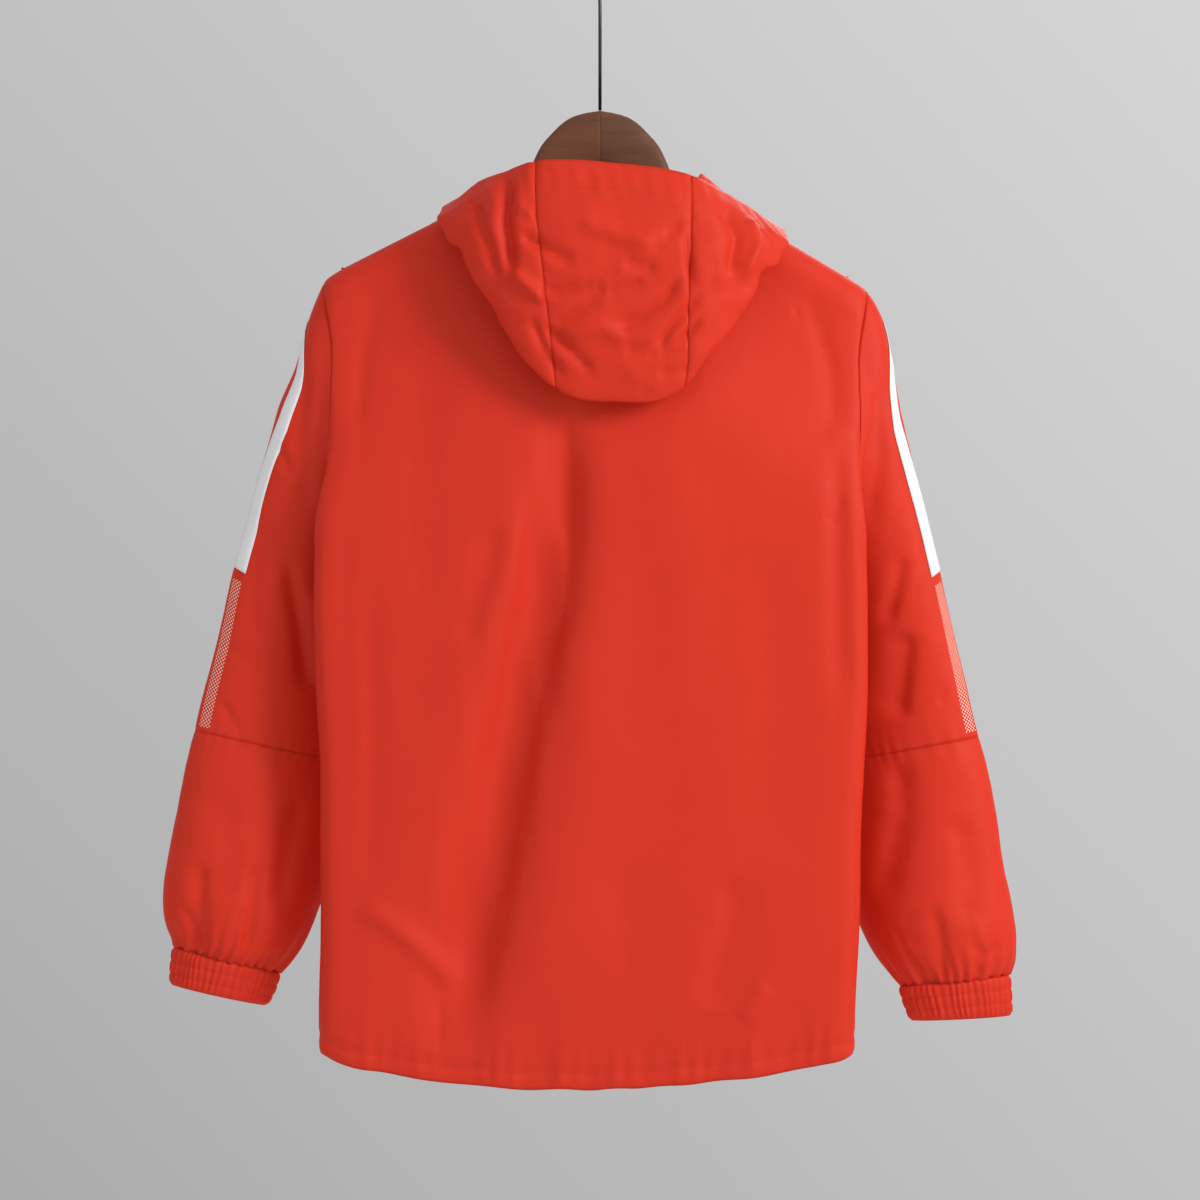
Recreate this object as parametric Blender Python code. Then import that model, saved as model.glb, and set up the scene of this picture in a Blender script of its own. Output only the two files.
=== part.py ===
"""A hooded windbreaker hanging on a wooden hanger.

Metres, +Z up. The front faces -Y and the wearer's left is +X. The origin is the point where a
rail carries the hook: the highest point inside its bend. Every cloth piece is a wall between an
outer surface, worked out from the tables below, and an inner one a cloth's thickness behind it.
"""
import math

import bmesh
import bpy
import numpy as np
from mathutils import Matrix, Vector

CLOTH = 0.0015          # cloth wall
GAP = 0.0003            # between two pieces that meet
LEFT, RIGHT = 1, -1     # the wearer's sides, and the sign of X there

# Shoulders and neck
NECK_HALF = 0.085       # half the neck's width, where the shoulder seams start
NECK_SIDE_Z = -0.2132   # height of the shoulder seam at the neck
NAPE_Z = -0.2280        # neck edge at the centre of the back
FRONT_NECK_Z = -0.2800  # neck edge at the centre of the front
SLOPE = {LEFT: 0.507, RIGHT: 0.600}       # fall of each shoulder per metre outwards
RIDGE_DROP = 0.025      # the cloth rounds over the hanger within this drop
RIDGE_DEPTH = 0.022     # and has come this far back by then
DEPTH_DROP = 0.22       # drop below the shoulder at which the body has its full depth
CROWN = 0.005           # the back is this much deeper at its middle than near its sides

# Hem: low at one place of the back and rising from there to the sides
HEM_LOW = (0.030, -0.9975)
HEM_RISE = {LEFT: 0.58, RIGHT: 0.415}     # rise over the square of the width
SIDE_HEM_Z = -0.957
FRONT_HEM_Z = -0.962

# Armholes, from the shoulder tip over the back or front down to the underarm
TIP_Z = {LEFT: -0.298, RIGHT: -0.304}
UNDERARM_Z = {LEFT: -0.530, RIGHT: -0.536}
ARM_REACH = {LEFT: 1.0, RIGHT: 0.965}     # the right armhole lies nearer to the middle
ARM_ANGLES = (0, 9, 18, 27, 36, 48, 60, 72, 86, 100, 114, 128, 143, 160, 180)

# Columns of the panels, as shares of the way from the middle to the side
NECK_SHARE = 0.38       # of the columns lie inside the neck's width
NECK_SPACING = 2.2      # power that brings them closer together towards its edge
FLAT_SHARE = 0.76       # and up to here the panel is flat before it turns the side fold
BACK_TURN = 0.030       # width that the back uses to turn its side fold
LOWER_ROWS = 12         # rows of a panel below the underarm
WIDE_ANGLES = (80, 60)  # from the first angle and over the second, the side fold leaves the armhole
OPEN_LEVEL = 0.35       # share of the armhole's height over which the front narrows
NECK_CLEAR = 0.012      # the front's flat part reaches at least this far past the neck

# Zip
ZIP_HALF = 0.0062       # half the visible tape
CHAIN_HALF = 0.0024
CHAIN_RAISE = 0.0012
CHAIN_SLOPE = 0.0006    # width over which the chain rises from the tape
COLLAR_STEP = 4         # the zip takes every fourth point of the collar's edge

# Sleeves
JOIN_ROWS = 3           # rows over which a sleeve comes away from the armhole's own line
UPPER_ROWS = (0, 0.5, 1, 2, 3, 4, 5, 5.85, 7, 8, 9)   # one of them is the tape's lower end
FOREARM_ROWS = (10, 11, 12, 13, 13.6, 14.3, 15, 16)
CUFF_GATHERS = 48
GATHER_RAISE = 0.0016
STRIPE_THICK = 0.0010
STRIPE_COLUMNS = (2, 4)  # the sleeve's own columns that the tape lies between
STRIPE_ROWS = (2, 7)     # and the first and last of its rows

# Hanger
WIRE = 0.0015           # radius
HOOK_RADIUS = 0.020     # of the wire's centre line
HOOK_SWEEP = (210, -60, -18)              # degrees of the bend: start, end and step
HOOK_SHANK = ((0.0048, -0.0388), (0.0014, -0.0432), (0.0002, -0.0490), (0, -0.0550), (0, -0.0900))
WOOD_HALF = 0.007       # half the wood's thickness
WOOD_ROUND = 2.6        # power of its rounded section
WOOD_TIP_X = {LEFT: 0.226, RIGHT: 0.220}
WOOD_AROUND = 16        # points round a section
WOOD_END = 0.012        # length over which the tip rounds off
WOOD_END_SHRINK = 0.85


class Table:
    """Rows of named columns, read anywhere on smooth curves through the rows."""

    def __init__(self, columns, rows):
        self.names = columns.split()
        self.values = np.array(rows, float)
        if self.values[0, 0] > self.values[-1, 0]:
            self.values = self.values[::-1]

    def read(self, name, at):
        keys = self.values[:, 0]
        column = self.values[:, self.names.index(name)]
        slopes = np.gradient(column, keys)
        at = min(max(at, keys[0]), keys[-1])
        i = min(max(int(np.searchsorted(keys, at)) - 1, 0), len(keys) - 2)
        span = keys[i + 1] - keys[i]
        t = (at - keys[i]) / span
        return (
            (2 * t**3 - 3 * t**2 + 1) * column[i]
            + (t**3 - 2 * t**2 + t) * span * slopes[i]
            + (3 * t**2 - 2 * t**3) * column[i + 1]
            + (t**3 - t**2) * span * slopes[i + 1]
        )


# Half widths at the back's side folds, the side seam, depths, and the front's narrower shape
BODY = Table("z left right seam_x seam_y back front front_corner front_flat", (
    (-0.298, 0.2420, 0.2336, 0.201, 0.000, 0.030, -0.030, 0.2360, 0.212),
    (-0.352, 0.2345, 0.2262, 0.201, 0.000, 0.040, -0.042, 0.2080, 0.170),
    (-0.404, 0.2353, 0.2249, 0.201, 0.000, 0.047, -0.054, 0.1780, 0.110),
    (-0.445, 0.2390, 0.2266, 0.201, 0.000, 0.052, -0.062, 0.1520, 0.080),
    (-0.490, 0.2448, 0.2292, 0.201, 0.000, 0.055, -0.067, 0.1320, 0.065),
    (-0.543, 0.2483, 0.2310, 0.200, 0.000, 0.056, -0.070, 0.1250, 0.060),
    (-0.596, 0.2483, 0.2318, 0.200, 0.000, 0.056, -0.070, 0.1250, 0.060),
    (-0.660, 0.2457, 0.2318, 0.200, 0.000, 0.056, -0.070, 0.1280, 0.065),
    (-0.704, 0.2431, 0.2292, 0.200, 0.000, 0.056, -0.069, 0.1320, 0.070),
    (-0.771, 0.2431, 0.2262, 0.202, 0.000, 0.055, -0.067, 0.1400, 0.080),
    (-0.848, 0.2422, 0.2249, 0.206, 0.000, 0.054, -0.064, 0.1500, 0.090),
    (-0.920, 0.2431, 0.2214, 0.210, 0.000, 0.052, -0.060, 0.1600, 0.100),
    (-1.000, 0.2422, 0.2206, 0.212, 0.000, 0.050, -0.056, 0.1650, 0.110),
))

ARMHOLE = Table("angle back_x back_y front_x front_y", (
    (0, 0.2420, 0.000, 0.2420, 0.000),
    (30, 0.2400, 0.014, 0.2360, -0.014),
    (60, 0.2335, 0.024, 0.2150, -0.025),
    (90, 0.2345, 0.033, 0.1950, -0.040),
    (120, 0.2300, 0.033, 0.1860, -0.044),
    (150, 0.2170, 0.019, 0.1900, -0.026),
    (180, 0.2010, 0.000, 0.2010, 0.000),
))

# The largest folds of the back, troughs negative: where each starts and ends, its half width
# at both ends and how far it stands out or in
FOLDS = (
    dict(start=(0.030, -0.420), end=(0.125, -0.950), width=(0.010, 0.024), depth=-0.011),
    dict(start=(0.090, -0.505), end=(0.118, -0.613), width=(0.009, 0.012), depth=-0.004),
    dict(start=(0.200, -0.840), end=(0.122, -0.905), width=(0.010, 0.012), depth=0.005),
    dict(start=(-0.207, -0.440), end=(-0.208, -0.660), width=(0.010, 0.014), depth=-0.006),
    dict(start=(-0.116, -0.815), end=(-0.092, -0.925), width=(0.012, 0.018), depth=-0.005),
    dict(start=(-0.143, -0.910), end=(-0.118, -0.940), width=(0.010, 0.012), depth=0.004),
)
FOLD_START = (-0.10, 0.30)   # a fold fades in from this share of its length, over this share
FOLD_END = (1.12, 0.25)      # and out again up to this one

# Outlines of the sleeves: the outer edge, the inner edge beside the body, and half the depth.
# Row 0 is the armhole, row 9 the seam above the elbow, the last row the wrist.
SLEEVE_COLUMNS = "row outer_x outer_y outer_z inner_x inner_y inner_z half_depth"
SLEEVES = {
    LEFT: Table(SLEEVE_COLUMNS, (
        (0, 0.2420, 0.000, -0.2980, 0.2010, 0.000, -0.5300, 0.035),
        (1, 0.2535, 0.000, -0.3265, 0.2050, -0.009, -0.5370, 0.036),
        (2, 0.2640, 0.000, -0.3640, 0.2065, -0.019, -0.5470, 0.038),
        (3, 0.2815, 0.000, -0.4098, 0.2060, -0.030, -0.5600, 0.040),
        (4, 0.2950, 0.000, -0.4545, 0.2045, -0.040, -0.5750, 0.040),
        (5, 0.3080, 0.000, -0.5040, 0.2025, -0.048, -0.5950, 0.040),
        (6, 0.3227, 0.000, -0.5563, 0.2020, -0.053, -0.6220, 0.039),
        (7, 0.3341, 0.000, -0.6089, 0.2030, -0.055, -0.6520, 0.037),
        (8, 0.3464, 0.000, -0.6550, 0.2080, -0.052, -0.6880, 0.035),
        (9, 0.3545, 0.000, -0.6880, 0.2120, -0.049, -0.7180, 0.034),
        (10, 0.3600, 0.000, -0.7110, 0.2150, -0.046, -0.7380, 0.036),
        (11, 0.3690, 0.000, -0.7540, 0.2240, -0.038, -0.7760, 0.037),
        (12, 0.3770, 0.000, -0.7950, 0.2350, -0.030, -0.8120, 0.038),
        (13, 0.3824, 0.000, -0.8370, 0.2464, -0.022, -0.8450, 0.038),
        (14, 0.3800, -0.002, -0.8560, 0.2570, -0.018, -0.8700, 0.036),
        (15, 0.3745, -0.004, -0.8690, 0.2700, -0.016, -0.8890, 0.032),
        (16, 0.3730, -0.005, -0.8760, 0.2795, -0.015, -0.9000, 0.027),
    )),
    RIGHT: Table(SLEEVE_COLUMNS, (
        (0, 0.2335, 0.000, -0.3040, 0.1940, 0.000, -0.5360, 0.035),
        (1, 0.2460, 0.000, -0.3265, 0.1975, -0.009, -0.5430, 0.036),
        (2, 0.2545, 0.000, -0.3640, 0.1990, -0.019, -0.5530, 0.038),
        (3, 0.2631, 0.000, -0.4098, 0.1980, -0.030, -0.5660, 0.040),
        (4, 0.2741, 0.000, -0.4545, 0.1960, -0.040, -0.5810, 0.040),
        (5, 0.2868, 0.000, -0.5040, 0.1935, -0.048, -0.6010, 0.040),
        (6, 0.2991, 0.000, -0.5563, 0.1920, -0.053, -0.6280, 0.039),
        (7, 0.3105, 0.000, -0.6089, 0.1910, -0.056, -0.6580, 0.037),
        (8, 0.3215, 0.000, -0.6550, 0.1930, -0.053, -0.6900, 0.035),
        (9, 0.3305, 0.000, -0.6930, 0.1960, -0.050, -0.7190, 0.034),
        (10, 0.3370, 0.000, -0.7160, 0.1985, -0.047, -0.7400, 0.036),
        (11, 0.3455, 0.000, -0.7580, 0.2050, -0.040, -0.7800, 0.037),
        (12, 0.3520, 0.000, -0.8020, 0.2140, -0.032, -0.8200, 0.038),
        (13, 0.3604, 0.000, -0.8440, 0.2270, -0.024, -0.8570, 0.038),
        (14, 0.3638, -0.002, -0.8700, 0.2400, -0.019, -0.8830, 0.036),
        (15, 0.3625, -0.004, -0.8890, 0.2530, -0.017, -0.9010, 0.032),
        (16, 0.3580, -0.005, -0.9005, 0.2620, -0.016, -0.9110, 0.027),
    )),
}
SLEEVE_EDGE_POWER = 1.35   # above 1 the tube closes to a soft fold at its outer and inner edge

CUFF_COLUMNS = "row outer_x outer_z inner_x inner_z half_depth"
CUFFS = {
    LEFT: Table(CUFF_COLUMNS, (
        (0, 0.3731, -0.8768, 0.2797, -0.9008, 0.0265),
        (1, 0.3750, -0.8945, 0.2850, -0.9160, 0.0255),
        (2, 0.3758, -0.9098, 0.2920, -0.9291, 0.0240),
    )),
    RIGHT: Table(CUFF_COLUMNS, (
        (0, 0.3581, -0.9013, 0.2623, -0.9118, 0.0265),
        (1, 0.3592, -0.9195, 0.2665, -0.9275, 0.0255),
        (2, 0.3596, -0.9370, 0.2719, -0.9422, 0.0240),
    )),
}
CUFF_Y = {"outer": -0.006, "inner": -0.015}

# The hood, a row for each section from the front of the left side round the nape to the right.
# neck runs from 0 at the nape past 0.4 at the shoulder seam to 1 at the zip; fold is 1 where the
# hood hangs down behind in a pouch and 0 where it stands up as a collar.
HOOD = Table("place neck fold low_x low_y low_z high_x high_y high_z edge_x edge_y edge_z", (
    (1.00, 1.00, 0.0, 0.006, -0.028, -0.2500, 0.006, -0.028, -0.2450, 0.0065, -0.0285, -0.2380),
    (0.86, 0.74, 0.0, 0.046, -0.033, -0.2400, 0.044, -0.034, -0.2360, 0.0415, -0.0355, -0.2320),
    (0.80, 0.63, 0.0, 0.062, -0.033, -0.2280, 0.060, -0.036, -0.2260, 0.0570, -0.0400, -0.2230),
    (0.74, 0.52, 0.0, 0.084, -0.026, -0.2170, 0.086, -0.032, -0.2150, 0.0885, -0.0390, -0.2135),
    (0.66, 0.45, 1.0, 0.108, -0.003, -0.2160, 0.118, -0.005, -0.2195, 0.1270, -0.0070, -0.2235),
    (0.58, 0.39, 1.0, 0.133, 0.042, -0.2540, 0.1430, 0.032, -0.2440, 0.1370, 0.0220, -0.2355),
    (0.50, 0.34, 1.0, 0.110, 0.064, -0.2970, 0.118, 0.062, -0.2400, 0.1080, 0.0380, -0.2130),
    (0.40, 0.29, 1.0, 0.076, 0.074, -0.3540, 0.088, 0.080, -0.2320, 0.0850, 0.0540, -0.2045),
    (0.25, 0.20, 1.0, 0.038, 0.078, -0.3980, 0.056, 0.088, -0.2300, 0.0560, 0.0720, -0.1960),
    (0.00, 0.00, 1.0, -0.014, 0.079, -0.4010, -0.012, 0.090, -0.2280, -0.0120, 0.0750, -0.1975),
    (-0.25, -0.20, 1.0, -0.074, 0.078, -0.3980, -0.079, 0.088, -0.2400, -0.0790, 0.0720, -0.2080),
    (-0.40, -0.29, 1.0, -0.098, 0.074, -0.3640, -0.109, 0.080, -0.2480, -0.1050, 0.0540, -0.2200),
    (-0.50, -0.34, 1.0, -0.130, 0.064, -0.3180, -0.142, 0.063, -0.2590, -0.1310, 0.0380, -0.2340),
    (-0.58, -0.39, 1.0, -0.154, 0.043, -0.2730, -0.1650, 0.034, -0.2640, -0.1610, 0.0240, -0.2550),
    (-0.66, -0.45, 1.0, -0.122, -0.003, -0.2275, -0.134, -0.005, -0.2335, -0.1440, -0.0070, -0.2400),
    (-0.74, -0.52, 0.0, -0.084, -0.026, -0.2190, -0.087, -0.032, -0.2170, -0.0900, -0.0390, -0.2155),
    (-0.80, -0.63, 0.0, -0.062, -0.033, -0.2280, -0.060, -0.036, -0.2260, -0.0580, -0.0400, -0.2240),
    (-0.86, -0.74, 0.0, -0.046, -0.033, -0.2400, -0.044, -0.034, -0.2360, -0.0420, -0.0355, -0.2325),
    (-1.00, -1.00, 0.0, -0.006, -0.028, -0.2500, -0.006, -0.028, -0.2450, -0.0065, -0.0285, -0.2380),
))
HOOD_SEAM = 0.25        # place of the two seams of the hood's centre strip
NECK_SEAM_SHARE = 0.4   # neck value at the shoulder seams
NECK_CENTRE_Y = 0.010   # the hood leaves the neck away from a line this far in front of the shoulders
HOOD_RISE = 0.010       # the hood stands this high at the neck before it folds back
HOOD_LEAN = 0.004       # and leans this far out there
HOOD_SWELL = 0.010      # the pouch stands out this much between its lowest and its highest line
HOOD_OVER = 0.004       # and this much where it turns over the neck
HOOD_HANG = 0.08        # where the pouch is this tall it swells fully
HOOD_STEPS = 16         # along each section
CENTRE_SECTIONS = 9     # of the hood's centre strip, both seams counted
SIDE_SECTIONS = 12      # of each side, its seam not counted
SOFTENING = 12          # rounds that even out the hood's normals

WOOD = Table("x top bottom", (
    (0.0000, -0.1466, -0.1895),
    (0.0148, -0.1492, -0.1960),
    (0.0254, -0.1527, -0.2020),
    (0.0340, -0.1585, -0.2070),
    (0.0430, -0.1675, -0.2125),
    (0.0515, -0.1775, -0.2180),
    (0.0600, -0.1935, -0.2235),
    (0.0720, -0.2075, -0.2310),
))
WOOD_DIP = 0.006          # the arm lies this much below the cloth at the neck's edge
WOOD_DEPTH_NECK = 0.036   # height of the arm where it leaves the neck
WOOD_DEPTH_TIP = 0.022    # and near its tip
WOOD_SHOULDER_X = 0.072   # from here out the arm lies under the shoulder's ridge
WOOD_BLEND = 0.020        # and the hump at the neck runs into it over this width before
WOOD_RISE = 0.030         # the arm comes up to the cloth over this width past the neck
WOOD_STATIONS = (0, 0.008, 0.016, 0.024, 0.032, 0.040, 0.047, 0.054, 0.060, 0.066,
                 WOOD_SHOULDER_X, 0.10, 0.14, 0.18)


def ease(share):
    """A soft step from 0 to 1."""
    share = min(max(share, 0.0), 1.0)
    return share * share * (3 - 2 * share)


def mix(a, b, share):
    return a + (b - a) * share


def unit(vectors):
    lengths = np.linalg.norm(vectors, axis=-1, keepdims=True)
    return vectors / np.maximum(lengths, 1e-12)


# ---------------------------------------------------------------- the body's surface

def ridge_z(x):
    """Height of the shoulder's ridge, on straight lines that go on over the neck."""
    side = LEFT if x >= 0 else RIGHT
    return NECK_SIDE_Z - SLOPE[side] * (abs(x) - NECK_HALF)


def fold_offset(x, z):
    """How far the back stands out or in at a point, for the folds in FOLDS."""
    total = 0.0
    for fold in FOLDS:
        start, end = np.array(fold["start"]), np.array(fold["end"])
        along = end - start
        length = np.linalg.norm(along)
        share = float(np.dot(np.array((x, z)) - start, along)) / length**2
        across = abs(float(np.cross(along, np.array((x, z)) - start))) / length
        width = mix(*fold["width"], min(max(share, 0.0), 1.0))
        fade_in = ease((share - FOLD_START[0]) / FOLD_START[1])
        ends = fade_in * ease((FOLD_END[0] - share) / FOLD_END[1])
        total += fold["depth"] * ends * math.exp(-((across / width) ** 2))
    return total


def body_depth(x, z, full):
    """Depth of the back or front at a point: round over the hanger, then growing to full."""
    drop = max(ridge_z(x) - z, 0.0)
    round_part = RIDGE_DEPTH * math.sqrt(max(1 - (1 - min(drop / RIDGE_DROP, 1.0)) ** 2, 0.0))
    return round_part + (full - RIDGE_DEPTH) * ease(drop / DEPTH_DROP)


def armhole_point(side, angle, face):
    """A point of the armhole's edge; face is 'back' or 'front'."""
    share = (1 - math.cos(math.radians(angle))) / 2
    return np.array((
        side * ARM_REACH[side] * ARMHOLE.read(face + "_x", angle),
        ARMHOLE.read(face + "_y", angle),
        mix(TIP_Z[side], UNDERARM_Z[side], share),
    ))


def hem_z(x, face):
    """Height of the hem at a width."""
    if face == "front":
        return FRONT_HEM_Z
    out = x - HEM_LOW[0]
    return HEM_LOW[1] + HEM_RISE[LEFT if out > 0 else RIGHT] * out**2


def column_x(share, inner, flat):
    """Spreads the columns so that one always starts at the neck's edge."""
    if share <= NECK_SHARE:
        return mix(inner, NECK_HALF, 1 - (1 - share / NECK_SHARE) ** NECK_SPACING)
    return mix(NECK_HALF, flat, (share - NECK_SHARE) / (FLAT_SHARE - NECK_SHARE))


def neck_z(x, face):
    """Height of the neck's edge at a width."""
    share = abs(x) / NECK_HALF
    if face == "back":
        return mix(NAPE_Z, NECK_SIDE_Z, share**3)
    return mix(FRONT_NECK_Z, NECK_SIDE_Z, share**2)


def top_z(x, face):
    return neck_z(x, face) if abs(x) < NECK_HALF else ridge_z(x)


def panel_point(side, share, row, face):
    """A point of the back or front on one side; share runs from the middle to the side edge.

    row counts the armhole's angles first and then the rows down to the hem.
    """
    last = len(ARM_ANGLES) - 1
    if row <= last:
        edge = armhole_point(side, ARM_ANGLES[row], face)
        level = (1 - math.cos(math.radians(ARM_ANGLES[row]))) / 2
    else:
        level = 1.0
        down = (row - last) / LOWER_ROWS
        z = mix(UNDERARM_Z[side], SIDE_HEM_Z, down)
        edge = np.array((side * ARM_REACH[side] * BODY.read("seam_x", z), BODY.read("seam_y", z), z))
    wide = max(BODY.read("left" if side == LEFT else "right", edge[2]), abs(edge[0]))
    if row <= last:
        wide = mix(abs(edge[0]), wide, ease((ARM_ANGLES[row] - WIDE_ANGLES[0]) / WIDE_ANGLES[1]))

    if face == "back":
        inner, full = 0.0, BODY.read("back", edge[2])
        flat = wide - BACK_TURN
        corner = wide + math.sqrt((wide - flat) * (wide - abs(edge[0])))
    else:
        inner, full = ZIP_HALF + GAP, -BODY.read("front", edge[2])
        reach = ARM_REACH[side]
        flat_wide = wide - BACK_TURN
        opened = ease(level / OPEN_LEVEL)
        corner = mix(wide, reach * BODY.read("front_corner", edge[2]), opened)
        narrow = max(reach * BODY.read("front_flat", edge[2]), NECK_HALF + NECK_CLEAR)
        flat = mix(flat_wide, narrow, opened)
        if row < last:
            corner = min(corner, abs(edge[0]))

    def level_z(x):
        if row <= last:
            return mix(top_z(side * x, face), UNDERARM_Z[side], level)
        return mix(UNDERARM_Z[side], hem_z(side * x, face), down)

    def level_y(x, z):
        depth = body_depth(side * x, z, full)
        if face == "back":
            return depth + CROWN * (1 - (x / wide) ** 2) * level + fold_offset(side * x, z)
        return -depth

    if share <= FLAT_SHARE:
        x = column_x(share, inner, flat)
        z = level_z(x)
        return np.array((side * x, level_y(x, z), z))
    turn = (share - FLAT_SHARE) / (1 - FLAT_SHARE)
    keep, lead, reach_end = (1 - turn) ** 2, 2 * turn * (1 - turn), turn**2
    x = keep * flat + lead * corner + reach_end * abs(edge[0])
    z_flat = level_z(min(x, wide))
    z = z_flat + (edge[2] - level_z(abs(edge[0]))) * reach_end
    y_flat = level_y(flat, level_z(flat))
    y = (keep + lead) * y_flat + reach_end * edge[1]
    return np.array((side * x, y, z))


# ---------------------------------------------------------------- walls

def grid_normals(points, wrap=False):
    """Normals of a grid of points, rows down and columns across, pointing out of the garment."""
    if wrap:
        across = np.roll(points, -1, axis=1) - np.roll(points, 1, axis=1)
    else:
        across = np.gradient(points, axis=1)
    down = np.gradient(points, axis=0)
    return unit(np.cross(across, down))


def soften(normals, rounds):
    """Evens out a grid of normals over their neighbours."""
    for _ in range(rounds):
        padded = np.pad(normals, ((1, 1), (1, 1), (0, 0)), mode="edge")
        around = padded[:-2, 1:-1] + padded[2:, 1:-1] + padded[1:-1, :-2] + padded[1:-1, 2:]
        normals = unit(2 * normals + around)
    return normals


def share_normals(first, second):
    """Gives two edges that meet the mean of their normals."""
    mean = unit(first + second)
    first[...] = mean
    second[...] = mean


def pull_in(points, edge, distance):
    """Moves one edge of a grid back from its neighbour; edge is top, bottom, first or last."""
    grid = {"top": points, "bottom": points[::-1],
            "first": points.transpose(1, 0, 2), "last": points.transpose(1, 0, 2)[::-1]}[edge]
    grid[0] += unit(grid[1] - grid[0]) * distance


def material(name, colour, roughness, metallic=0.0):
    made = bpy.data.materials.new(name)
    made.use_nodes = True
    shader = made.node_tree.nodes["Principled BSDF"]
    shader.inputs["Base Color"].default_value = (*colour, 1.0)
    shader.inputs["Roughness"].default_value = roughness
    shader.inputs["Metallic"].default_value = metallic
    made.diffuse_color = (*colour, 1.0)
    return made


def add_object(name, mesh, finish, smooth=True):
    mesh.materials.append(finish)
    if smooth:
        mesh.shade_smooth()
    made = bpy.data.objects.new(name, mesh)
    PARTS.objects.link(made)
    return made


def wall(name, outer, inner, finish, wrap=False):
    """Lofts the closed wall between an outer and an inner grid; wrap joins last column to first.

    Both faces of the wall are split along the same, shorter diagonals, so they never cross.
    """
    rows, columns = outer.shape[:2]
    flat = outer.reshape(-1, 3)
    count = rows * columns
    spans = columns if wrap else columns - 1
    faces = []
    for i in range(rows - 1):
        for j in range(spans):
            k = (j + 1) % columns
            quad = (i * columns + j, i * columns + k, (i + 1) * columns + k, (i + 1) * columns + j)
            corners = [flat[v] for v in quad]
            if np.linalg.norm(corners[0] - corners[2]) > np.linalg.norm(corners[1] - corners[3]):
                quad = quad[1:] + quad[:1]
            for triangle in ((quad[0], quad[1], quad[2]), (quad[0], quad[2], quad[3])):
                faces.append(triangle)
                faces.append(tuple(count + v for v in reversed(triangle)))
    for i, turn in ((0, -1), (rows - 1, 1)):
        for j in range(spans):
            a, b = i * columns + j, i * columns + (j + 1) % columns
            faces.append((a, b, count + b, count + a)[::turn])
    if not wrap:
        for j, turn in ((0, 1), (columns - 1, -1)):
            for i in range(rows - 1):
                a, b = i * columns + j, (i + 1) * columns + j
                faces.append((a, b, count + b, count + a)[::turn])
    mesh = bpy.data.meshes.new(name)
    mesh.from_pydata(np.concatenate((outer, inner)).reshape(-1, 3).tolist(), [], faces)
    shape = bmesh.new()
    shape.from_mesh(mesh)
    bmesh.ops.recalc_face_normals(shape, faces=shape.faces)
    shape.to_mesh(mesh)
    shape.free()
    return add_object(name, mesh, finish)


def solid(name, make, finish, smooth=True):
    """Makes an object from a bmesh that make() fills."""
    shape = bmesh.new()
    make(shape)
    bmesh.ops.recalc_face_normals(shape, faces=shape.faces)
    mesh = bpy.data.meshes.new(name)
    shape.to_mesh(mesh)
    shape.free()
    return add_object(name, mesh, finish, smooth)


# ---------------------------------------------------------------- body panels

def panel_shares(centre):
    """Column shares of one side; centre counts the columns inside the neck, between and in the turn."""
    neck, between, turn = centre
    return np.concatenate((
        np.linspace(0, NECK_SHARE, neck + 1)[:-1],
        np.linspace(NECK_SHARE, FLAT_SHARE, between + 1)[:-1],
        np.linspace(FLAT_SHARE, 1, turn + 1),
    ))


def panel_rows():
    return len(ARM_ANGLES) + LOWER_ROWS


def make_back_points():
    shares = panel_shares((5, 5, 4))
    grid = []
    for row in range(panel_rows()):
        right = [panel_point(RIGHT, s, row, "back") for s in shares[::-1]]
        left = [panel_point(LEFT, s, row, "back") for s in shares[1:]]
        right[-1] = (right[-1] + panel_point(LEFT, 0.0, row, "back")) / 2
        grid.append(right + left)
    return np.array(grid)


def make_front_points(side):
    shares = panel_shares((5, 2, 4))
    order = shares if side == RIGHT else shares[::-1]
    return np.array([[panel_point(side, s, row, "front") for s in order]
                     for row in range(panel_rows())])


def build_body():
    """The back and the two fronts, which share their normals at the shoulder and side seams."""
    back = make_back_points()
    left, right = make_front_points(LEFT), make_front_points(RIGHT)
    back_n = grid_normals(back)
    left_n, right_n = grid_normals(left), grid_normals(right)
    underarm = len(ARM_ANGLES) - 1
    for front, front_n, back_edge, front_edge in (
        (left, left_n, -1, 0), (right, right_n, 0, -1),
    ):
        share_normals(back_n[underarm:, back_edge], front_n[underarm:, front_edge])
    for points, normals in ((back, back_n), (left, left_n), (right, right_n)):
        for j, point in enumerate(points[0]):
            if abs(point[0]) >= NECK_HALF - 1e-6:
                side = LEFT if point[0] > 0 else RIGHT
                normals[0, j] = unit(np.array((side * SLOPE[side], 0.0, 1.0)))
    for points, normals, name in (
        (back, back_n, "back"), (left, left_n, "front_left"), (right, right_n, "front_right"),
    ):
        shifted = points.copy()
        for edge in ("top", "first", "last"):
            pull_in(shifted, edge, GAP / 2)
        wall(name, shifted, shifted - normals * CLOTH, SHELL)
    return back, left, right


# ---------------------------------------------------------------- sleeves and cuffs

def ring_angles():
    """Angles round a sleeve: the armhole's own, over the back and then over the front."""
    back = list(ARM_ANGLES)
    front = [360 - a for a in ARM_ANGLES[-2:0:-1]]
    return back + front


def ring_point(table, side, row, angle, depth_power):
    """A point of a sleeve's ring, from the outlines in its table."""
    outer = np.array([table.read("outer_" + axis, row) for axis in "xyz"])
    inner = np.array([table.read("inner_" + axis, row) for axis in "xyz"])
    turn = math.radians(angle)
    depth = math.copysign(abs(math.sin(turn)) ** depth_power, math.sin(turn))
    point = (outer + inner) / 2 + (outer - inner) / 2 * math.cos(turn)
    point[1] += table.read("half_depth", row) * depth
    return point * (side, 1, 1)


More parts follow.
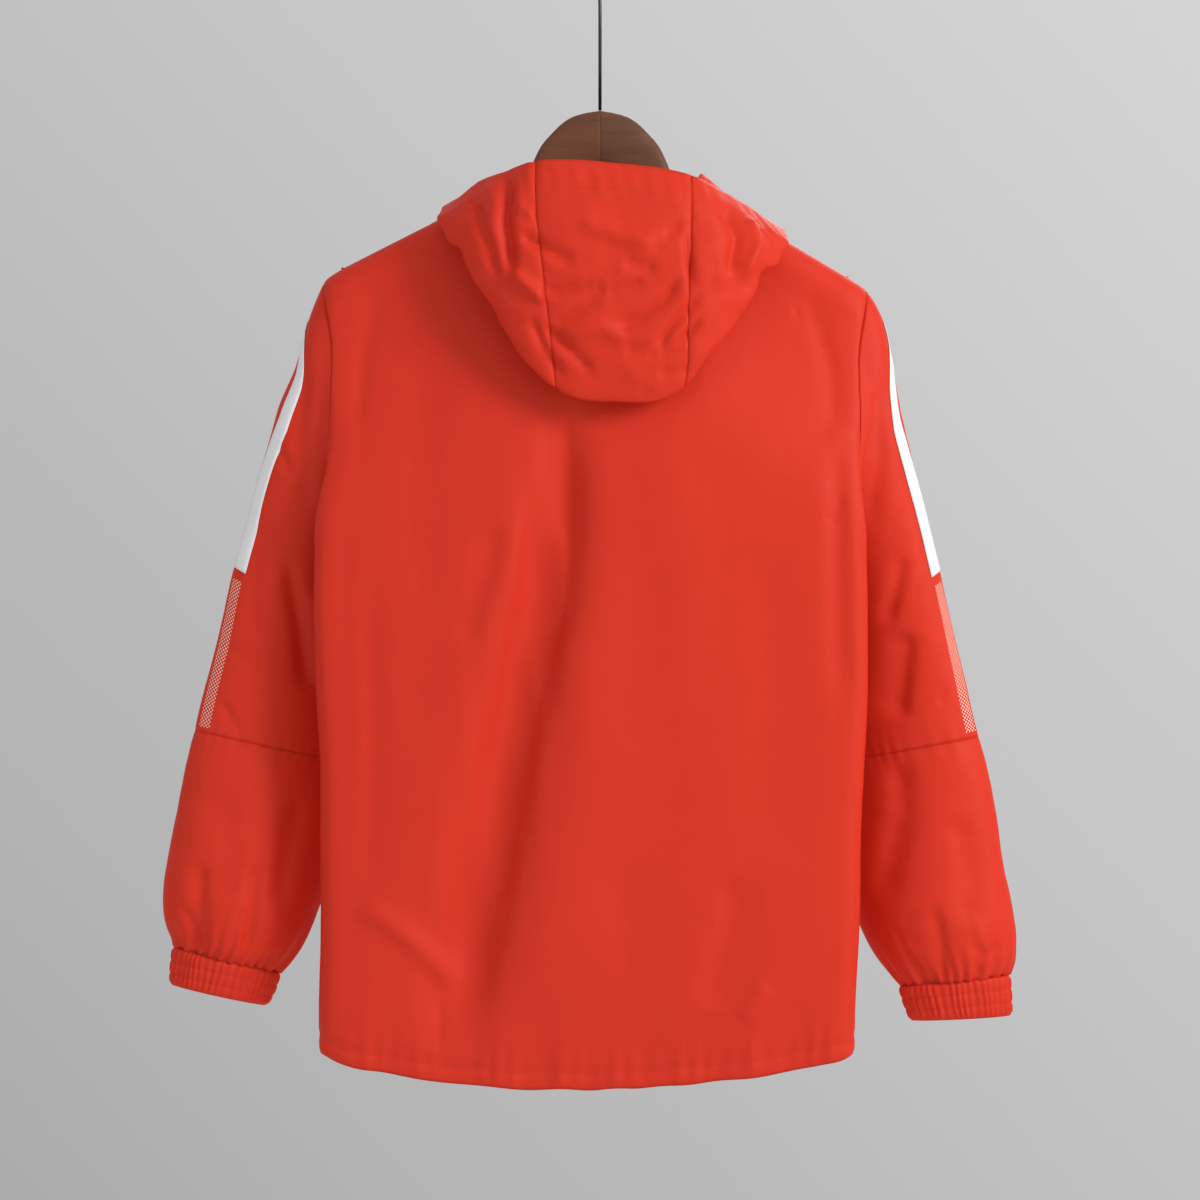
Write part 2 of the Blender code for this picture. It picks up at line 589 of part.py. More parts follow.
def sleeve_point(side, row, angle):
    """A sleeve's surface; near row 0 it takes the armhole's own line."""
    table = SLEEVES[side]
    edged = ease(row / JOIN_ROWS)
    point = ring_point(table, side, row, angle, mix(1.0, SLEEVE_EDGE_POWER, edged))
    if row < JOIN_ROWS:
        face, around = ("back", angle) if angle <= 180 else ("front", 360 - angle)
        start = ring_point(table, side, 0, angle, 1.0)
        point += (armhole_point(side, around, face) - start) * (1 - edged)
    return point


def build_sleeve(side):
    word = "left" if side == LEFT else "right"
    angles = ring_angles()
    rows = UPPER_ROWS + FOREARM_ROWS
    points = np.array([[sleeve_point(side, r, a) for a in angles] for r in rows])
    normals = -side * grid_normals(points, wrap=True)
    normals[0, :, 0] = side * np.minimum(side * normals[0, :, 0], 0.0)
    normals[0] = unit(normals[0])
    elbow = len(UPPER_ROWS) - 1

    upper, upper_n = points[:elbow + 1].copy(), normals[:elbow + 1]
    upper[0, :, 0] += side * GAP
    pull_in(upper, "bottom", GAP / 2)
    wall("upper_sleeve_" + word, upper, upper - upper_n * CLOTH, SHELL, wrap=True)

    lower, lower_n = points[elbow:].copy(), normals[elbow:]
    pull_in(lower, "top", GAP / 2)
    wall("lower_sleeve_" + word, lower, lower - lower_n * CLOTH, SHELL, wrap=True)
    build_stripe(side, word, points, normals)
    build_cuff(side, word)


def build_stripe(side, word, points, normals):
    """A tape on the back of the sleeve's outer fold, made from the sleeve's points, moved out."""
    first, last = STRIPE_COLUMNS
    rows = slice(STRIPE_ROWS[0], STRIPE_ROWS[1] + 1)
    base, out = points[rows, first:last + 1], normals[rows, first:last + 1]
    if side == RIGHT:
        base, out = base[:, ::-1], out[:, ::-1]
    under = base + out * GAP
    wall("stripe_" + word, under + out * STRIPE_THICK, under, TAPE)


def cuff_point(side, row, angle, raise_by):
    table = CUFFS[side]
    outer = np.array((table.read("outer_x", row), CUFF_Y["outer"], table.read("outer_z", row)))
    inner = np.array((table.read("inner_x", row), CUFF_Y["inner"], table.read("inner_z", row)))
    turn = math.radians(angle)
    half = (outer - inner) / 2
    length = np.linalg.norm(half)
    point = (outer + inner) / 2 + half * math.cos(turn) * (1 + raise_by / length)
    point[1] += (table.read("half_depth", row) + raise_by) * math.sin(turn)
    return point * (side, 1, 1)


def build_cuff(side, word):
    """The elastic cuff: gathers raised all round over a plain inside."""
    count = CUFF_GATHERS * 2
    angles = np.arange(count) * 360 / count
    outer, inner = [], []
    for row in (0, 1, 2):
        raised = [GATHER_RAISE if j % 2 == 0 else 0.0 for j in range(count)]
        outer.append([cuff_point(side, row, a, r) for a, r in zip(angles, raised)])
        inner.append([cuff_point(side, row, a, -CLOTH) for a in angles])
    wall("cuff_" + word, np.array(outer), np.array(inner), SHELL, wrap=True)


# ---------------------------------------------------------------- hood

def neck_edge(edges, neck):
    """A point on the neck's edge; the edges run from the nape to the zip on each side."""
    side = LEFT if neck >= 0 else RIGHT
    back, front = edges[side]
    if abs(neck) <= NECK_SEAM_SHARE:
        line, share = back, abs(neck) / NECK_SEAM_SHARE
    else:
        line, share = front, (abs(neck) - NECK_SEAM_SHARE) / (1 - NECK_SEAM_SHARE)
    lengths = np.concatenate(([0], np.cumsum(np.linalg.norm(np.diff(line, axis=0), axis=1))))
    at = share * lengths[-1]
    return np.array([np.interp(at, lengths, line[:, k]) for k in range(3)])


def neck_edges(back, left, right):
    """The panels' top edges inside the neck, each as nape to seam and seam to zip."""
    top = back[0]
    middle = len(top) // 2
    spans = {}
    for side, front in ((LEFT, left[0][::-1]), (RIGHT, right[0])):
        half = top[middle:] if side == LEFT else top[middle::-1]
        inside = np.abs(half[:, 0]) <= NECK_HALF + 1e-6
        inside_front = np.abs(front[:, 0]) <= NECK_HALF + 1e-6
        spans[side] = (half[inside], front[inside_front][::-1])
    return spans


def curve_through(points, count):
    """Evenly spread points of a smooth curve through a few points."""
    points = np.array(points)
    steps = np.sqrt(np.linalg.norm(np.diff(points, axis=0), axis=1))
    keys = np.concatenate(([0], np.cumsum(np.maximum(steps, 1e-6))))
    fine = np.linspace(0, keys[-1], 200)
    slopes = np.gradient(points, keys, axis=0)
    i = np.clip(np.searchsorted(keys, fine, side="right") - 1, 0, len(keys) - 2)
    span = (keys[i + 1] - keys[i])[:, None]
    t = (fine - keys[i])[:, None] / span
    dense = (
        (2 * t**3 - 3 * t**2 + 1) * points[i] + (t**3 - 2 * t**2 + t) * span * slopes[i]
        + (3 * t**2 - 2 * t**3) * points[i + 1] + (t**3 - t**2) * span * slopes[i + 1]
    )
    lengths = np.concatenate(([0], np.cumsum(np.linalg.norm(np.diff(dense, axis=0), axis=1))))
    at = np.linspace(0, lengths[-1], count)
    return np.stack([np.interp(at, lengths, dense[:, k]) for k in range(3)], axis=1)


def hood_section(edges, place):
    """One section of the hood, from the neck seam round the pouch to the face edge."""
    start = neck_edge(edges, HOOD.read("neck", place)) + (0, 0, GAP * 2)
    low, high, edge = (np.array([HOOD.read(f"{name}_{axis}", place) for axis in "xyz"])
                       for name in ("low", "high", "edge"))
    fold = min(max(HOOD.read("fold", place), 0.0), 1.0)
    away = unit(np.array((start[0], start[1] + NECK_CENTRE_Y, 0.0)))
    rise = start + away * HOOD_LEAN + (0, 0, HOOD_RISE)
    hung = ease((high[2] - low[2]) / HOOD_HANG)
    over = mix(rise, low, 0.5) + np.array((0, HOOD_OVER, 0.0)) * hung
    swell = mix(low, high, 0.5) + np.array((0, HOOD_SWELL, 0.0)) * hung
    pouch = [start, rise, over, low, swell, high, edge]
    stand = [mix(start, edge, k / 6) for k in range(7)]
    return curve_through([mix(s, p, fold) for s, p in zip(stand, pouch)], HOOD_STEPS + 1)


def build_hood(edges):
    centre = np.linspace(-HOOD_SEAM, HOOD_SEAM, CENTRE_SECTIONS)
    side = np.linspace(HOOD_SEAM, 1, SIDE_SECTIONS + 1)[1:]
    places = np.concatenate((-side[::-1], centre, side))
    points = np.array([hood_section(edges, p) for p in places]).transpose(1, 0, 2)
    normals = soften(-grid_normals(points), SOFTENING)
    normals[0, :, 2] = 0.0
    normals[0] = unit(normals[0])
    last_centre = SIDE_SECTIONS + CENTRE_SECTIONS
    for name, part in (
        ("hood_side_right", slice(0, SIDE_SECTIONS + 1)),
        ("hood_centre", slice(SIDE_SECTIONS, last_centre)),
        ("hood_side_left", slice(last_centre - 1, None)),
    ):
        outer, out = points[:, part].copy(), normals[:, part]
        for edge in ("first", "last"):
            pull_in(outer, edge, GAP)
        wall(name, outer, outer - out * CLOTH, SHELL)
    return points[::-1, -1]


# ---------------------------------------------------------------- zip

def build_zip(left, collar):
    """Tape with a raised chain, down the middle of the collar, given from its top, and the fronts."""
    front = left[:, -1]
    line = np.concatenate((collar[:-1:COLLAR_STEP], front[1:]))
    foot = CHAIN_HALF + CHAIN_SLOPE
    profile = ((-ZIP_HALF, 0), (-foot, 0), (-CHAIN_HALF, 1), (CHAIN_HALF, 1), (foot, 0), (ZIP_HALF, 0))
    outer = np.array([[(x, p[1] - CHAIN_RAISE * up, p[2]) for x, up in profile] for p in line])
    inner = np.array([[(x, p[1] + CLOTH, p[2]) for x, _ in profile] for p in line])
    wall("zip", outer, inner, TAPE_RED)


# ---------------------------------------------------------------- hanger

def wood_section(x, side):
    """Top and bottom of an arm: humped at the neck, then under the shoulder's ridge."""
    slope = SLOPE[side]
    under = (CLOTH + GAP * 1.5) * math.sqrt(1 + slope**2)
    dip = WOOD_DIP * (1 - ease((x - NECK_HALF) / WOOD_RISE))
    line = ridge_z(side * x) - under - dip
    outwards = (x - WOOD_SHOULDER_X) / (WOOD_TIP_X[side] - WOOD_SHOULDER_X)
    if outwards >= 0:
        return line, line - mix(WOOD_DEPTH_NECK, WOOD_DEPTH_TIP, outwards)
    hump = ease((x - WOOD_SHOULDER_X + WOOD_BLEND) / WOOD_BLEND)
    at_neck = ridge_z(side * WOOD_SHOULDER_X) - under - WOOD_DIP
    return (mix(WOOD.read("top", x), at_neck, hump * ease(hump)),
            mix(WOOD.read("bottom", x), at_neck - WOOD_DEPTH_NECK, ease(x / WOOD_SHOULDER_X)))


def build_arm(side):
    """One wooden half: rounded sections from the middle joint to the tip."""
    tip = WOOD_TIP_X[side]
    rings = []
    for x in WOOD_STATIONS + (tip - WOOD_END, tip - WOOD_END / 3, tip):
        top, bottom = wood_section(x, side)
        end = max(0.0, (x - (tip - WOOD_END)) / WOOD_END)
        shrink = math.sqrt(1 - (WOOD_END_SHRINK * end) ** 2)
        half, middle = (top - bottom) / 2 * shrink, (top + bottom) / 2
        ring = []
        for k in range(WOOD_AROUND):
            turn = 2 * math.pi * (k + 0.5) / WOOD_AROUND
            c, s = math.cos(turn), math.sin(turn)
            ring.append((
                side * (x + GAP / 2),
                WOOD_HALF * shrink * math.copysign(abs(c) ** (2 / WOOD_ROUND), c),
                middle + half * math.copysign(abs(s) ** (2 / WOOD_ROUND), s),
            ))
        rings.append(ring)

    def make(shape):
        made = [[shape.verts.new(p) for p in ring] for ring in rings]
        for a, b in zip(made, made[1:]):
            for k in range(WOOD_AROUND):
                m = (k + 1) % WOOD_AROUND
                shape.faces.new((a[k], a[m], b[m], b[k]))
        shape.faces.new(made[0])
        shape.faces.new(made[-1])

    solid("hanger_arm_" + ("left" if side == LEFT else "right"), make, WOOD_FINISH)


def build_hook():
    """A wire bent to a hook, its shank straight down to the wood."""
    centre = Vector((0, 0, -HOOK_RADIUS + WIRE))
    points = []
    start, end, step = HOOK_SWEEP
    for degrees in range(start, end - 1, step):
        turn = math.radians(degrees)
        points.append(centre + Vector((math.cos(turn), 0, math.sin(turn))) * HOOK_RADIUS)
    points += [Vector((x, 0, z)) for x, z in HOOK_SHANK + ((0, WOOD.read("top", 0) + GAP),)]
    curve = bpy.data.curves.new("hook_route", "CURVE")
    curve.dimensions = "3D"
    curve.bevel_depth = WIRE
    curve.bevel_resolution = 2
    curve.use_fill_caps = True
    spline = curve.splines.new("POLY")
    spline.points.add(len(points) - 1)
    for slot, point in zip(spline.points, points):
        slot.co = (*point, 1)
    made = bpy.data.objects.new("hanger_hook", curve)
    curve.materials.append(WIRE_FINISH)
    PARTS.objects.link(made)


# ---------------------------------------------------------------- slider and pull tab

SLIDER_Z = -0.2590      # middle of the slider
SLIDER_SIZE = (0.0096, 0.0030, 0.0130)
CHEEK = (0.0010, 0.0042, 0.0040)
CHEEK_X = 0.0034
CHEEK_SINK = 0.0002     # a cheek goes this far into the slider's body
BAR_RADIUS = 0.0007
BAR_OUT = 0.0026        # the bar's centre in front of the slider's face
EYE_RADIUS = 0.0019
EYE_HOLE = 0.0011
ROD_SIDES = 16
TAB = (0.0052, 0.0012, 0.0240)


def box(name, centre, size):
    """A cube primitive of a size; the object is for joining or cutting."""
    bpy.ops.mesh.primitive_cube_add(size=1, location=centre)
    made = bpy.context.object
    made.name = name
    made.data.transform(Matrix.Diagonal((*size, 1)))
    return made


def rod(name, centre, radius, length):
    """A cylinder primitive along X."""
    bpy.ops.mesh.primitive_cylinder_add(vertices=ROD_SIDES, radius=radius, depth=length, location=centre)
    made = bpy.context.object
    made.name = name
    made.data.transform(Matrix.Rotation(math.pi / 2, 4, "Y"))
    return made


def combine(target, other, operation):
    """Applies a Boolean with another object, which is then removed."""
    change = target.modifiers.new("join", "BOOLEAN")
    change.operation = operation
    change.object = other
    bpy.context.view_layer.update()
    read = target.evaluated_get(bpy.context.evaluated_depsgraph_get())
    mesh = bpy.data.meshes.new_from_object(read)
    target.modifiers.clear()
    target.data = mesh
    bpy.data.objects.remove(other)


def finish_object(made, finish):
    made.data.materials.clear()
    made.data.materials.append(finish)
    for owner in list(made.users_collection):
        owner.objects.unlink(made)
    PARTS.objects.link(made)


def build_slider(chain_y):
    """The slider's body with two cheeks and a bar, and the tab whose eye hangs on the bar."""
    width, thick, tall = SLIDER_SIZE
    face_y = chain_y - GAP - thick
    middle = Vector((0, chain_y - GAP - thick / 2, SLIDER_Z))
    body = box("zip_slider", middle, SLIDER_SIZE)
    for side in (LEFT, RIGHT):
        cheek_at = (side * CHEEK_X, face_y - CHEEK[1] / 2 + CHEEK_SINK, SLIDER_Z)
        combine(body, box("cheek", cheek_at, CHEEK), "UNION")
    bar_at = Vector((0, face_y - BAR_OUT, SLIDER_Z))
    combine(body, rod("bar", bar_at, BAR_RADIUS, 2 * CHEEK_X), "UNION")
    finish_object(body, METAL)

    tab_half = TAB[0] / 2
    eye = rod("zip_pull", bar_at, EYE_RADIUS, 2 * tab_half)
    tab_at = (0, bar_at.y - EYE_RADIUS + TAB[1] / 2, bar_at.z - TAB[2] / 2)
    combine(eye, box("tab", tab_at, TAB), "UNION")
    combine(eye, rod("hole", bar_at, EYE_HOLE, 4 * tab_half), "DIFFERENCE")
    finish_object(eye, METAL)


# ---------------------------------------------------------------- assembly

for old in list(bpy.data.objects):
    bpy.data.objects.remove(old)
PARTS = bpy.data.collections.new("windbreaker_on_hanger")
bpy.context.scene.collection.children.link(PARTS)

SHELL = material("red nylon", (0.62, 0.040, 0.022), 0.55)
TAPE = material("white tape", (0.80, 0.78, 0.76), 0.60)
TAPE_RED = material("red zip tape", (0.45, 0.030, 0.018), 0.60)
METAL = material("zip metal", (0.45, 0.45, 0.46), 0.35, 1.0)
WOOD_FINISH = material("brown wood", (0.200, 0.085, 0.045), 0.45)
WIRE_FINISH = material("hook wire", (0.08, 0.08, 0.085), 0.35, 1.0)

back_points, left_points, right_points = build_body()
for arm_side in (LEFT, RIGHT):
    build_sleeve(arm_side)
    build_arm(arm_side)
collar_line = build_hood(neck_edges(back_points, left_points, right_points))
build_zip(left_points, collar_line)
slider_top = SLIDER_Z + SLIDER_SIZE[2] / 2
chain_y = np.interp(slider_top, collar_line[::-1, 2], collar_line[::-1, 1]) - CHAIN_RAISE
build_slider(float(chain_y))
build_hook()
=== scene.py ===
import math

import bmesh
import bpy
import numpy as np
from mathutils import Matrix, Vector


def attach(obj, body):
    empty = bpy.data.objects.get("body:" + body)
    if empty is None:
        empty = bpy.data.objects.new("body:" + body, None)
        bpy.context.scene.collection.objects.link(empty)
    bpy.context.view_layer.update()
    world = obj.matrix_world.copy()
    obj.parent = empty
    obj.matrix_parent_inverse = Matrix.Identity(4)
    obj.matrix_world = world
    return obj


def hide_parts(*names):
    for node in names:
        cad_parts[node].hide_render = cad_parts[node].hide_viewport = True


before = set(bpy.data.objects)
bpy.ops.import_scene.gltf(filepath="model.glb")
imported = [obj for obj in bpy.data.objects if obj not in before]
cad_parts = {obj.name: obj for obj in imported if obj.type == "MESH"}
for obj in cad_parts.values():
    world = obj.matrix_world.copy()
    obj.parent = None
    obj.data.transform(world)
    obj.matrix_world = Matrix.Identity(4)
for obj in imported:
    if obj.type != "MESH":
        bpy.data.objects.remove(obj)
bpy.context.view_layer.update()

BODY = "garment_and_hanger"

# ---------------------------------------------------------------- Room
# The jacket hangs in a plain pale room, over a plain pale floor. One large soft light stands to
# the picture's upper right, a weaker one to its left and one lights the jacket's front.
FLOOR_Z = -1.62
FLOOR_RADIUS = 3.0
PALE = 0.535
# how much brighter the room is towards -X and towards +Z, and how far from the middle it goes on
DRIFT = (-0.62, 0.60, 0.11)
CAMERA_Z = -0.574
CAMERA_Y = 5.0
LENS = 171.7
# place, aimed at, size and power of each light
LIGHTS = (
    ((-1.9, 1.5, 0.45), (0.0, 0.05, -0.50), 0.9, 36.0),
    ((2.4, 3.0, -0.2), (0.0, 0.05, -0.6), 2.0, 9.0),
    ((-0.9, -2.8, 1.2), (0.0, 0.0, -0.6), 1.8, 34.0),
)

scene = bpy.context.scene
scene.view_settings.view_transform = "Standard"
scene.view_settings.look = "None"

room = bpy.data.worlds.new("pale_room")
room.use_nodes = True
tree = room.node_tree
heading = tree.nodes.new("ShaderNodeTexCoord")
parts = tree.nodes.new("ShaderNodeSeparateXYZ")
tree.links.new(heading.outputs["Generated"], parts.inputs[0])
total = None
for axis, slope in ((0, DRIFT[0]), (2, DRIFT[1])):
    part = tree.nodes.new("ShaderNodeMapRange")
    for end, sign in (("Min", -1), ("Max", 1)):
        part.inputs["From " + end].default_value = sign * DRIFT[2]
        part.inputs["To " + end].default_value = sign * slope * DRIFT[2] + PALE / 2
    tree.links.new(parts.outputs[axis], part.inputs["Value"])
    if total is None:
        total = part.outputs[0]
    else:
        both = tree.nodes.new("ShaderNodeMath")
        tree.links.new(total, both.inputs[0])
        tree.links.new(part.outputs[0], both.inputs[1])
        total = both.outputs[0]
tree.links.new(total, tree.nodes["Background"].inputs["Color"])
scene.world = room

for number, (place, target, size, power) in enumerate(LIGHTS):
    lamp = bpy.data.lights.new(f"soft_light_{number}", "AREA")
    lamp.shape = "DISK"
    lamp.size = size
    lamp.energy = power
    holder = bpy.data.objects.new(lamp.name, lamp)
    holder.location = place
    aim = Vector(target) - Vector(place)
    holder.rotation_euler = aim.to_track_quat("-Z", "Y").to_euler()
    scene.collection.objects.link(holder)

lens = bpy.data.cameras.new("camera")
lens.lens = LENS
lens.sensor_width = 36
camera = bpy.data.objects.new("camera", lens)
camera.location = (0, CAMERA_Y, CAMERA_Z)
camera.rotation_euler = (math.pi / 2, 0, math.pi)
scene.collection.objects.link(camera)
scene.camera = camera


class Socket:
    """A value in a material's nodes, so that sums and products of it are written as such."""

    def __init__(self, finish, socket):
        self.finish, self.socket = finish, socket

    def apply(self, operation, other=0.0):
        return self.finish.add("ShaderNodeMath", (self, other), operation=operation)

    def __add__(self, other):
        return self.apply("ADD", other)

    __radd__ = __add__

    def __sub__(self, other):
        return self.apply("SUBTRACT", other)

    def __mul__(self, other):
        return self.apply("MULTIPLY", other)

    def __truediv__(self, other):
        return self.apply("DIVIDE", other)

    def __lt__(self, other):
        return self.apply("LESS_THAN", other)

    def __gt__(self, other):
        return self.apply("GREATER_THAN", other)


class Finish:
    """A material with a Principled shader, its constant sockets set, and nodes added by add()."""

    def __init__(self, name, **constants):
        self.material = bpy.data.materials.new(name)
        self.material.use_nodes = True
        self.tree = self.material.node_tree
        self.shader = self.tree.nodes["Principled BSDF"]
        for socket, value in constants.items():
            self.shader.inputs[socket.replace("_", " ")].default_value = value

    def put(self, socket, value):
        if isinstance(value, Socket):
            self.tree.links.new(value.socket, socket)
        elif value is not None:
            socket.default_value = value

    def add(self, kind, values=(), output=0, **settings):
        node = self.tree.nodes.new(kind)
        for name, value in settings.items():
            setattr(node, name, value)
        pairs = values.items() if isinstance(values, dict) else enumerate(values)
        for socket, value in pairs:
            self.put(node.inputs[socket], value)
        return Socket(self, node.outputs[output])

    def place(self):
        """Where on its object a point is."""
        return self.add("ShaderNodeTexCoord", output=3)

    def on_cloth(self):
        """How far across and how far down its cloth a point is, in metres."""
        uv = self.add("ShaderNodeUVMap", uv_map="cloth")
        return (self.add("ShaderNodeSeparateXYZ", (uv,), output=k) for k in (0, 1))

    def noise(self, place, scale, detail=2.0, **more):
        return self.add("ShaderNodeTexNoise", {"Vector": place, "Scale": scale, "Detail": detail, **more})

    def bump(self, strength, distance, height):
        return self.add("ShaderNodeBump", {"Strength": strength, "Distance": distance, "Height": height})

    def mix(self, a, b, share):
        """A colour between two."""
        a, b = (v if isinstance(v, Socket) else (*v, 1.0) for v in (a, b))
        return self.add("ShaderNodeMix", {0: share, 6: a, 7: b}, output=2, data_type="RGBA")

    def out(self, **sockets):
        for name, value in sockets.items():
            self.put(self.shader.inputs[name.replace("_", " ")], value)
        return self.material


def add_object(name, shape, finish, smooth=False):
    """Puts a finished shape into the scene."""
    mesh = bpy.data.meshes.new(name)
    shape.to_mesh(mesh)
    shape.free()
    if smooth:
        mesh.shade_smooth()
    mesh.materials.append(finish)
    made = bpy.data.objects.new(name, mesh)
    scene.collection.objects.link(made)
    return made


def settle(piece, node=None):
    """Says what a piece hangs on, and which plain piece it takes the place of."""
    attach(piece, BODY)
    if node:
        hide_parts(node)


def add_floor():
    finish = Finish("pale_floor", Roughness=0.8)
    grain = finish.noise(None, 3.0, 3.0)
    paint = finish.out(Base_Color=finish.mix((0.72, 0.72, 0.72), (0.76, 0.76, 0.76), grain))
    shape = bmesh.new()
    bmesh.ops.create_circle(shape, cap_ends=True, segments=96, radius=FLOOR_RADIUS)
    bmesh.ops.translate(shape, verts=shape.verts, vec=(0, 0, FLOOR_Z))
    add_object("floor", shape, paint)


add_floor()

# ---------------------------------------------------------------- Body panels
# Three panels of thin red nylon: the back in one piece, and two fronts from the shoulder seam to
# the zip. They hang from the hanger's shoulders, joined at shoulder and side, and each ends in a
# turned hem, stitched all along.
LEFT, RIGHT = 1, -1
NAMES = {LEFT: "left", RIGHT: "right"}
NECK_HALF = 0.085
NECK_SIDE_Z = -0.2132
NAPE_Z = -0.2280
FRONT_NECK_Z = -0.2800
SLOPE = {LEFT: 0.507, RIGHT: 0.600}
RIDGE_DROP = 0.025
RIDGE_DEPTH = 0.022
DEPTH_DROP = 0.22
CROWN = 0.005
HEM_LOW = (0.030, -0.9975)
HEM_RISE = {LEFT: 0.58, RIGHT: 0.415}
SIDE_HEM_Z = -0.957
FRONT_HEM_Z = -0.962
TIP_Z = {LEFT: -0.298, RIGHT: -0.304}
UNDERARM_Z = {LEFT: -0.530, RIGHT: -0.536}
ARM_REACH = {LEFT: 1.0, RIGHT: 0.965}
ARM_ANGLES = (0, 9, 18, 27, 36, 48, 60, 72, 86, 100, 114, 128, 143, 160, 180)
NECK_SHARE = 0.38
NECK_SPACING = 2.2
FLAT_SHARE = 0.76
BACK_TURN = 0.030
LOWER_ROWS = 12
WIDE_ANGLES = (80, 60)
OPEN_LEVEL = 0.35
NECK_CLEAR = 0.012
ZIP_HALF = 0.0062
SEAM_GAP = 0.0003       # between the solids of two cloths that meet
SEWN = 0.00005          # and between two cloths that are sewn together here
CLOTH = 0.0007          # the cloth's thickness
RED = ((0.740, 0.036, 0.0135), (0.670, 0.030, 0.0110))      # its lighter and darker red
DOT_COLOUR = (0.96, 0.70, 0.58)
THREADS = 8000.0        # the weave's waves, in radians a metre
STITCH = (0.0021, 0.00022)      # a stitch's length and thickness
STITCH_PITCH = 0.0030
BIG_FOLD = dict(start=(0.030, -0.420), end=(0.125, -0.950), width=(0.010, 0.024), depth=-0.011)


def hermite(t, span, a, slope_a, b, slope_b):
    """A smooth curve between two of its points that are span apart; t runs from 0 to 1."""
    return ((2 * t**3 - 3 * t**2 + 1) * a + (t**3 - 2 * t**2 + t) * span * slope_a
            + (3 * t**2 - 2 * t**3) * b + (t**3 - t**2) * span * slope_b)


class Table:
    """Rows of named columns, read anywhere on smooth curves through the rows."""

    def __init__(self, columns, rows):
        values = np.array(rows, float)
        if values[0, 0] > values[-1, 0]:
            values = values[::-1]
        self.keys = values[:, 0]
        self.columns = {n: values[:, k] for k, n in enumerate(columns.split())}
        self.slopes = {n: np.gradient(c, self.keys) for n, c in self.columns.items()}

    def read(self, name, at):
        keys, column, slopes = self.keys, self.columns[name], self.slopes[name]
        at = min(max(at, keys[0]), keys[-1])
        i = min(max(int(np.searchsorted(keys, at)) - 1, 0), len(keys) - 2)
        span = keys[i + 1] - keys[i]
        return hermite((at - keys[i]) / span, span, column[i], slopes[i], column[i + 1], slopes[i + 1])


PANELS = Table("z left right seam_x back front front_corner front_flat", (
    (-0.298, 0.2420, 0.2336, 0.201, 0.030, -0.030, 0.2360, 0.212),
    (-0.352, 0.2345, 0.2262, 0.201, 0.040, -0.042, 0.2080, 0.170),
    (-0.404, 0.2353, 0.2249, 0.201, 0.047, -0.054, 0.1780, 0.110),
    (-0.445, 0.2390, 0.2266, 0.201, 0.052, -0.062, 0.1520, 0.080),
    (-0.490, 0.2448, 0.2292, 0.201, 0.055, -0.067, 0.1320, 0.065),
    (-0.543, 0.2483, 0.2310, 0.200, 0.056, -0.070, 0.1250, 0.060),
    (-0.596, 0.2483, 0.2318, 0.200, 0.056, -0.070, 0.1250, 0.060),
    (-0.660, 0.2457, 0.2318, 0.200, 0.056, -0.070, 0.1280, 0.065),
    (-0.704, 0.2431, 0.2292, 0.200, 0.056, -0.069, 0.1320, 0.070),
    (-0.771, 0.2431, 0.2262, 0.202, 0.055, -0.067, 0.1400, 0.080),
    (-0.848, 0.2422, 0.2249, 0.206, 0.054, -0.064, 0.1500, 0.090),
    (-0.920, 0.2431, 0.2214, 0.210, 0.052, -0.060, 0.1600, 0.100),
    (-1.000, 0.2422, 0.2206, 0.212, 0.050, -0.056, 0.1650, 0.110),))

ARMHOLE = Table("angle back_x back_y front_x front_y", (
    (0, 0.2420, 0.000, 0.2420, 0.000),
    (30, 0.2400, 0.014, 0.2360, -0.014),
    (60, 0.2335, 0.024, 0.2150, -0.025),
    (90, 0.2345, 0.033, 0.1950, -0.040),
    (120, 0.2300, 0.033, 0.1860, -0.044),
    (150, 0.2170, 0.019, 0.1900, -0.026),
    (180, 0.2010, 0.000, 0.2010, 0.000),
))


def ease(share):
    """A soft step from 0 to 1."""
    share = np.clip(share, 0.0, 1.0)
    return share * share * (3 - 2 * share)


def mix(a, b, share):
    return a + (b - a) * share


def unit(vectors):
    lengths = np.linalg.norm(vectors, axis=-1, keepdims=True)
    return vectors / np.maximum(lengths, 1e-12)


def ridge_z(x):
    """Height of the shoulder's ridge, on straight lines that go on over the neck."""
    side = LEFT if x >= 0 else RIGHT
    return NECK_SIDE_Z - SLOPE[side] * (abs(x) - NECK_HALF)


def big_fold(x, z):
    """How deep the back's one large fold is at a place."""
    start, end = np.array(BIG_FOLD["start"]), np.array(BIG_FOLD["end"])
    along, away = end - start, np.array((x, z)) - start
    length = np.linalg.norm(along)
    share = float(away @ along) / length**2
    across = abs(float(along[0] * away[1] - along[1] * away[0])) / length
    width = mix(*BIG_FOLD["width"], min(max(share, 0.0), 1.0))
    ends = ease((share + 0.10) / 0.30) * ease((1.12 - share) / 0.25)
    return BIG_FOLD["depth"] * ends * math.exp(-((across / width) ** 2))


def body_depth(x, z, full):
    """Depth of the back or front at a point: round over the hanger, then growing to full."""
    drop = max(ridge_z(x) - z, 0.0)
    round_part = RIDGE_DEPTH * math.sqrt(max(1 - (1 - min(drop / RIDGE_DROP, 1.0)) ** 2, 0.0))
    return round_part + (full - RIDGE_DEPTH) * ease(drop / DEPTH_DROP)


def armhole_point(side, angle, face):
    """A point of the armhole's edge; face is 'back' or 'front'."""
    share = (1 - math.cos(math.radians(angle))) / 2
    return np.array((
        side * ARM_REACH[side] * ARMHOLE.read(face + "_x", angle),
        ARMHOLE.read(face + "_y", angle),
        mix(TIP_Z[side], UNDERARM_Z[side], share),
    ))


